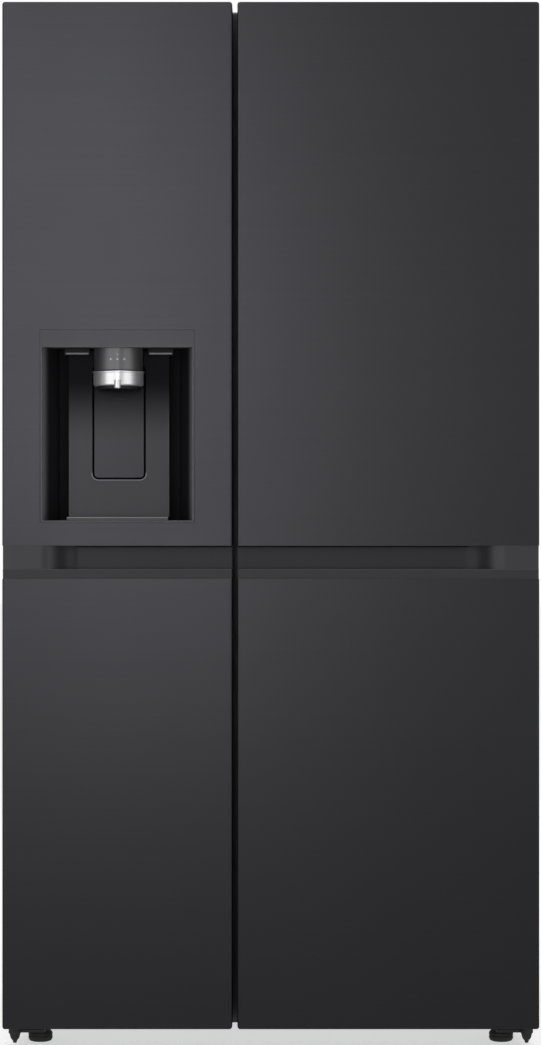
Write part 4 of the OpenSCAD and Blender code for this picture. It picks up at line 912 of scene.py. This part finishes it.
def ice_maker():
    """The ice maker's housing over its bucket, with a seam between them, air slots and a grip."""
    start, end = low["ice_maker"], high["ice_maker"]
    grip_half, slat_half, slat_pitch = 55 * MM, 75 * MM, 9 * MM
    seam_z = start.z + 0.60 * (end.z - start.z)
    front_y = end.y - 4 * MM
    bucket = slab((start.x + MM, start.y + MM, start.z), (end.x - MM, front_y, seam_z - 1.5 * MM),
                  Y, 10 * MM, 6 * MM)
    housing = slab((start.x + 0.5 * MM, start.y, seam_z + 1.5 * MM),
                   (end.x - 0.5 * MM, front_y + 2 * MM, end.z), Y, 10 * MM, 6 * MM)
    neck = slab((start.x + 8 * MM, start.y + MM, seam_z - 20 * MM),
                (end.x - 8 * MM, front_y - 6 * MM, seam_z + 20 * MM))
    piece_for("ice_maker", [housing, neck], liner_white, "ice_maker_housing")
    middle = (start.x + end.x) / 2
    grip = tub((middle - grip_half, front_y - 12 * MM, seam_z - 48 * MM),
               (middle + grip_half, front_y + MM, seam_z - 20 * MM),
               4 * MM, 3 * MM, 8 * MM, axis=Y, rim=1 * MM, fillet=3 * MM)
    piece("ice_bucket", [bucket], trim_white, "freezer_door", ["ice_maker"])
    piece("ice_bucket_grip", [grip], grey_plastic, "freezer_door", ["ice_maker"])
    slats = [slab((middle - slat_half, front_y + MM, end.z - 30 * MM - i * slat_pitch),
                  (middle + slat_half, front_y + 3 * MM, end.z - 26 * MM - i * slat_pitch),
                  Y, 1.9 * MM, 0.6 * MM)
             for i in range(6)]
    piece("ice_maker_slats", slats, grey_plastic, "freezer_door", ["ice_maker"])


ice_maker()


# ---------- dispenser ----------

DISP_X = (low["dispenser_nozzle"].x + high["dispenser_nozzle"].x) / 2
HEAD_R = (high["dispenser_head"].x - low["dispenser_head"].x) / 2
HEAD_Y = low["dispenser_head"].y + HEAD_R
PLATE_Y = low["dispenser_backplate"].y


def bezel():
    """The frame round the opening, wide above it where the controls are, with soft edges."""
    start, end = low["dispenser_bezel"], high["dispenser_bezel"]
    side_w = 4.15 * MM
    opening = (Vector((start.x + side_w, 0, DISP_Z[0])), Vector((end.x - side_w, 0, DISP_Z[1])))
    y0, y1, r, rim_w = start.y, end.y, 0.6 * MM, 1.7 * MM
    outer = [(side_w, y1), (side_w, y0 + r)] + arc((side_w - r, y0 + r), r, 0, -90, 3)[1:]
    bm = moulding(opening[0], opening[1], outer + [(rim_w, y0), (rim_w, y1)])
    edge = [(rim_w, y1), (rim_w, y0)] + arc((r, y0 + r), r, -90, -180, 3) + [(0, y1)]
    rim = moulding(opening[0], opening[1], edge)
    at_corner = 0.1 * MM
    lower_corners = [e for e in rim.edges if runs_along(e, Y) and e.calc_length() > MM
                     and abs(e.verts[0].co.z - opening[0].z) < at_corner
                     and min(abs(e.verts[0].co.x - corner.x) for corner in opening) < at_corner]
    rounded(rim, lower_corners, 3.2 * MM, 5)
    piece("dispenser_rim", [rim], rim_paint, "freezer_door", ["dispenser_bezel"], 60)
    above = end.z - DISP_Z[1] - side_w
    below = DISP_Z[0] - start.z - side_w
    for vert in bm.verts:
        if vert.co.z > DISP_Z[1] + side_w / 2:
            vert.co.z += above
        elif vert.co.z < DISP_Z[0] - side_w / 2:
            vert.co.z -= below
    corners = [e for e in bm.edges if runs_along(e, Y) and is_sharp(e, 80) and e.calc_length() > MM]
    rounded(bm, corners, 2.5 * MM, 5)
    piece_for("dispenser_bezel", [bm], sharp=60)


def head():
    """The round control head, the chute below it, the bright ring and the water nozzle."""
    base, top = low["dispenser_ring"].z, high["dispenser_head"].z
    head_z = high["dispenser_ring"].z
    seam = 1.2 * MM
    drum = turned([(0, head_z + seam), (HEAD_R - 1.5 * MM, head_z + seam),
                   (HEAD_R - 0.4 * MM, head_z + seam + 0.4 * MM), (HEAD_R, head_z + seam + 1.5 * MM),
                   (HEAD_R, top), (0, top)], (DISP_X, HEAD_Y, 0), segments=96)
    piece_for("dispenser_head", [cut_back(drum, PLATE_Y)], head_paint, "dispenser_head_drum")
    chute_r, bore_r = HEAD_R - 6 * MM, HEAD_R - 14 * MM
    chute_z = low["dispenser_head"].z + 2 * MM
    chute = turned([(bore_r, chute_z), (chute_r - 3 * MM, chute_z), (chute_r - MM, chute_z + MM),
                    (chute_r, chute_z + 3 * MM), (chute_r, head_z + seam), (bore_r, head_z + seam)],
                   (DISP_X, HEAD_Y, 0), segments=96, closed=True)
    piece("dispenser_chute", [cut_back(chute, PLATE_Y - 2 * MM)], recess_black, "freezer_door",
          ["dispenser_head"])
    ring_r, flange_r, flange_h = HEAD_R + MM, HEAD_R + 2.6 * MM, 2.6 * MM
    ring = turned([(chute_r + 0.3 * MM, base + 2 * MM), (ring_r - 5 * MM, base),
                   (ring_r - 2 * MM, base + 0.3 * MM), (ring_r - 0.5 * MM, base + 1.4 * MM),
                   (ring_r, base + 3 * MM), (ring_r, head_z - flange_h - 0.3 * MM),
                   (ring_r + 0.3 * MM, head_z - flange_h), (flange_r - 0.4 * MM, head_z - flange_h),
                   (flange_r, head_z - flange_h + 0.4 * MM), (flange_r, head_z - 0.7 * MM),
                   (flange_r - 0.6 * MM, head_z), (chute_r + 0.3 * MM, head_z)], (DISP_X, HEAD_Y, 0),
                  segments=96, closed=True)
    piece_for("dispenser_ring", [cut_back(ring, PLATE_Y - 2 * MM)])
    start, end = low["dispenser_nozzle"], high["dispenser_nozzle"]
    start.z += 3 * MM
    r = (end.x - start.x) / 2
    nozzle = turned([(3 * MM, start.z + 6 * MM), (3 * MM, start.z + 0.5 * MM), (3.5 * MM, start.z),
                     (r - 0.8 * MM, start.z), (r, start.z + 0.8 * MM), (r, end.z - 0.5 * MM),
                     (r - 0.5 * MM, end.z), (0, end.z), (0, start.z + 6 * MM)], (DISP_X, start.y + r, 0),
                    segments=40, closed=True)
    piece_for("dispenser_nozzle", [nozzle])


def marks():
    """Small generic signs on the head: a ring, a diamond and a hexagon with a dot above, in raised print."""
    shapes = []
    print_t, row_z, dot_z = 0.15 * MM, 1.1795, 1.1875
    for degrees, z, sides, r in ((-16, row_z, 24, 1.5 * MM), (0, row_z, 4, 1.7 * MM),
                                 (16, row_z, 6, 1.6 * MM), (0, dot_z, 16, 0.9 * MM)):
        turn = math.radians(degrees - 90)
        out = Vector((math.cos(turn), math.sin(turn), 0))
        place = Vector((DISP_X, HEAD_Y, z)) + out * (HEAD_R - 0.3 * MM)
        shapes.append(turned([(r * 0.55, 0), (r * 0.55, 0.3 * MM + print_t), (r, 0.3 * MM + print_t), (r, 0)],
                             place, out, sides, closed=True))
    piece("head_signs", shapes, print_grey, "freezer_door")


def lamps_in_recess():
    """Two small lamps under the recess's ceiling, one on each side of the head."""
    near, far = 52 * MM, 91.5 * MM
    lamp_h, lamp_z, lamp_y = 3 * MM, DISP_Z[1] - 9.4 * MM, PLATE_Y - 6 * MM
    spans = ((DISP_X - far, DISP_X - near), (DISP_X + near, DISP_X + far))
    lamps = [slab((x0, lamp_y - 0.6 * MM, lamp_z), (x1, lamp_y + MM, lamp_z + lamp_h), Y, 1.2 * MM, 0.4 * MM)
             for x0, x1 in spans]
    piece("recess_lamps", lamps, recess_light, "freezer_door")
    mounts = [slab((x0 - 2 * MM, lamp_y, lamp_z - MM), (x1 + 2 * MM, lamp_y + 5 * MM, DISP_Z[1] + MM),
                   rim=0.6 * MM)
              for x0, x1 in spans]
    piece("recess_lamp_mounts", mounts, recess_black, "freezer_door")


def paddle_slot():
    """The small dark slot across the paddle."""
    y, z, half_w, slot_h = low["dispenser_paddle"].y, 1.1128, 11 * MM, 2.4 * MM
    slot = slab((DISP_X - half_w, y - 0.25 * MM, z), (DISP_X + half_w, y + MM, z + slot_h),
                Y, 1.1 * MM, 0.2 * MM)
    piece("paddle_slot", [slot], recess_black, "dispenser_paddle")


def drip_tray():
    """The tray set back a little, with a sloping front and a bright bead along its top edge."""
    start, end = low["dispenser_tray"], high["dispenser_tray"]
    bm = merged_copy("dispenser_tray")
    rounded(bm, [e for e in bm.edges if is_sharp(e)], 0.4 * MM, 2)
    behind_bead = 3 * MM
    for vert in bm.verts:
        if vert.co.y < start.y + MM:
            vert.co.y += behind_bead
    piece_for("dispenser_tray", [bm], recess_black, "drip_tray")
    slope = [(start.y + 3 * MM, end.z - 2 * MM), (start.y + 3 * MM, start.z + 0.3 * MM),
             (start.y, start.z + 0.3 * MM), (start.y + 1.2 * MM, end.z - 2 * MM)]
    piece("drip_tray_front", [drawn(slope, X, start.x, end.x)], rim_paint, "dispenser_tray",
          ["dispenser_tray"])
    bead = slab((start.x, start.y + 0.6 * MM, end.z - 1.9 * MM), (end.x, start.y + 4 * MM, end.z),
                rim=0.4 * MM)
    piece("drip_tray_edge", [bead], tray_edge, "dispenser_tray", ["dispenser_tray"])


def opening_rim():
    """A thin raised line round the foot of the paddle's opening; its lighter metal is a painted highlight
    where the opening's edge catches light from above.
    """
    half_w, gap, bead_w, r = 42.5 * MM, 3.5 * MM, 1.3 * MM, 10 * MM
    x0, x1, z0 = DISP_X - half_w - gap, DISP_X + half_w + gap, low["dispenser_paddle"].z - gap
    inner = arc((x0 + r, z0 + r), r, 170, 270) + arc((x1 - r, z0 + r), r, -90, 10)
    outer = arc((x1 - r, z0 + r), r + bead_w, 10, -90) + arc((x0 + r, z0 + r), r + bead_w, 270, 170)
    # painted highlight: the line's lighter metal stands in for light caught by the opening's lower edge
    piece("paddle_opening_rim", [drawn(inner + outer, Y, PLATE_Y - 0.35 * MM, PLATE_Y + MM)], tray_edge,
          "freezer_door")


bezel()
# painted shade: the housing's walls darken deeper into the recess
softened("dispenser_housing", 1 * MM, 3, 60, recess_wall)
# painted shade: backplate and paddle darken towards the top, under the recess's ceiling
softened("dispenser_backplate", 1.2 * MM, 3, 50, plate_paint)
softened("dispenser_paddle", 0.9 * MM, 3, 50, plate_paint)
head()
marks()
lamps_in_recess()
paddle_slot()
drip_tray()
opening_rim()


# ---------- floor, light and camera ----------

def floor():
    bm = bmesh.new()
    bmesh.ops.create_grid(bm, x_segments=1, y_segments=1, size=30.0)
    mesh = bpy.data.meshes.new("floor")
    bm.to_mesh(mesh)
    bm.free()
    ground = bpy.data.objects.new("floor", mesh)
    bpy.context.scene.collection.objects.link(ground)
    material = bpy.data.materials.new("pale_floor")
    material.use_nodes = True
    shader = material.node_tree.nodes["Principled BSDF"]
    shader.inputs["Base Color"].default_value = (0.9, 0.9, 0.9, 1.0)
    shader.inputs["Roughness"].default_value = 0.9
    shader.inputs["Emission Color"].default_value = (1.0, 1.0, 1.0, 1.0)
    shader.inputs["Emission Strength"].default_value = 0.55
    mesh.materials.append(material)
    ground.visible_glossy = False


def softbox(name, place, target, width, height, power, lean=0.0):
    """A rectangular lamp facing a point; lean turns it about the line to that point, in degrees."""
    data = bpy.data.lights.new(name, "AREA")
    data.shape = "RECTANGLE"
    data.size, data.size_y = width, height
    data.energy = power
    light = bpy.data.objects.new(name, data)
    light.location = place
    facing = (Vector(target) - Vector(place)).to_track_quat("-Z", "Y").to_matrix()
    light.rotation_euler = (facing @ Matrix.Rotation(math.radians(lean), 3, "Z")).to_euler()
    light.visible_camera = False
    bpy.context.scene.collection.objects.link(light)


def studio_sky():
    """White behind the object; as a light, a soft sky that is dim below the horizon."""
    world = bpy.data.worlds.new("studio")
    bpy.context.scene.world = world
    world.use_nodes = True
    tree = world.node_tree
    tree.nodes.clear()
    direction = add(tree, "ShaderNodeSeparateXYZ")
    tree.links.new(add(tree, "ShaderNodeTexCoord").outputs["Generated"], direction.inputs["Vector"])
    rise = add(tree, "ShaderNodeMapRange", interpolation_type="SMOOTHSTEP")
    dim, bright = 0.32, 0.52
    for socket, value in (("From Min", 0.1), ("From Max", 0.8), ("To Min", dim), ("To Max", bright)):
        rise.inputs[socket].default_value = value
    tree.links.new(direction.outputs["Z"], rise.inputs["Value"])
    sky = add(tree, "ShaderNodeBackground")
    tree.links.new(rise.outputs["Result"], sky.inputs["Strength"])
    backdrop = add(tree, "ShaderNodeBackground", Strength=1.0, Color=(1.0, 1.0, 1.0, 1.0))
    choose = add(tree, "ShaderNodeMixShader")
    tree.links.new(add(tree, "ShaderNodeLightPath").outputs["Is Camera Ray"], choose.inputs["Fac"])
    tree.links.new(sky.outputs["Background"], choose.inputs[1])
    tree.links.new(backdrop.outputs["Background"], choose.inputs[2])
    tree.links.new(choose.outputs["Shader"], add(tree, "ShaderNodeOutputWorld").inputs["Surface"])


def camera():
    """Straight in front, a little above the middle of the doors."""
    distance, eye_x, eye_height = 5.5, -0.5 * MM, 901.3 * MM
    data = bpy.data.cameras.new("camera")
    data.lens = 111.5
    data.sensor_width = 36.0
    data.clip_end = 100.0
    eye = bpy.data.objects.new("camera", data)
    eye.location = (eye_x, FACE_Y - distance, eye_height)
    eye.rotation_euler = (math.radians(90), 0, 0)
    bpy.context.scene.collection.objects.link(eye)
    bpy.context.scene.camera = eye


floor()
studio_sky()
softbox("key", (-0.66, FACE_Y - 7.0, 1.75), (-0.3, FACE_Y, 1.3), width=0.6, height=3.0, power=33, lean=8)
softbox("overhead", (0, FACE_Y - 1.2, 4.2), (0, 0, 0.9), width=3.5, height=2.5, power=60)
softbox("left_side", (-2.6, FACE_Y - 3.2, 1.6), (0, FACE_Y, 1.0), width=3.2, height=3.0, power=30)
softbox("right_side", (2.7, FACE_Y - 3.1, 1.6), (0, FACE_Y, 1.0), width=3.2, height=3.0, power=26)
camera()
bpy.context.scene.view_settings.view_transform = "Standard"
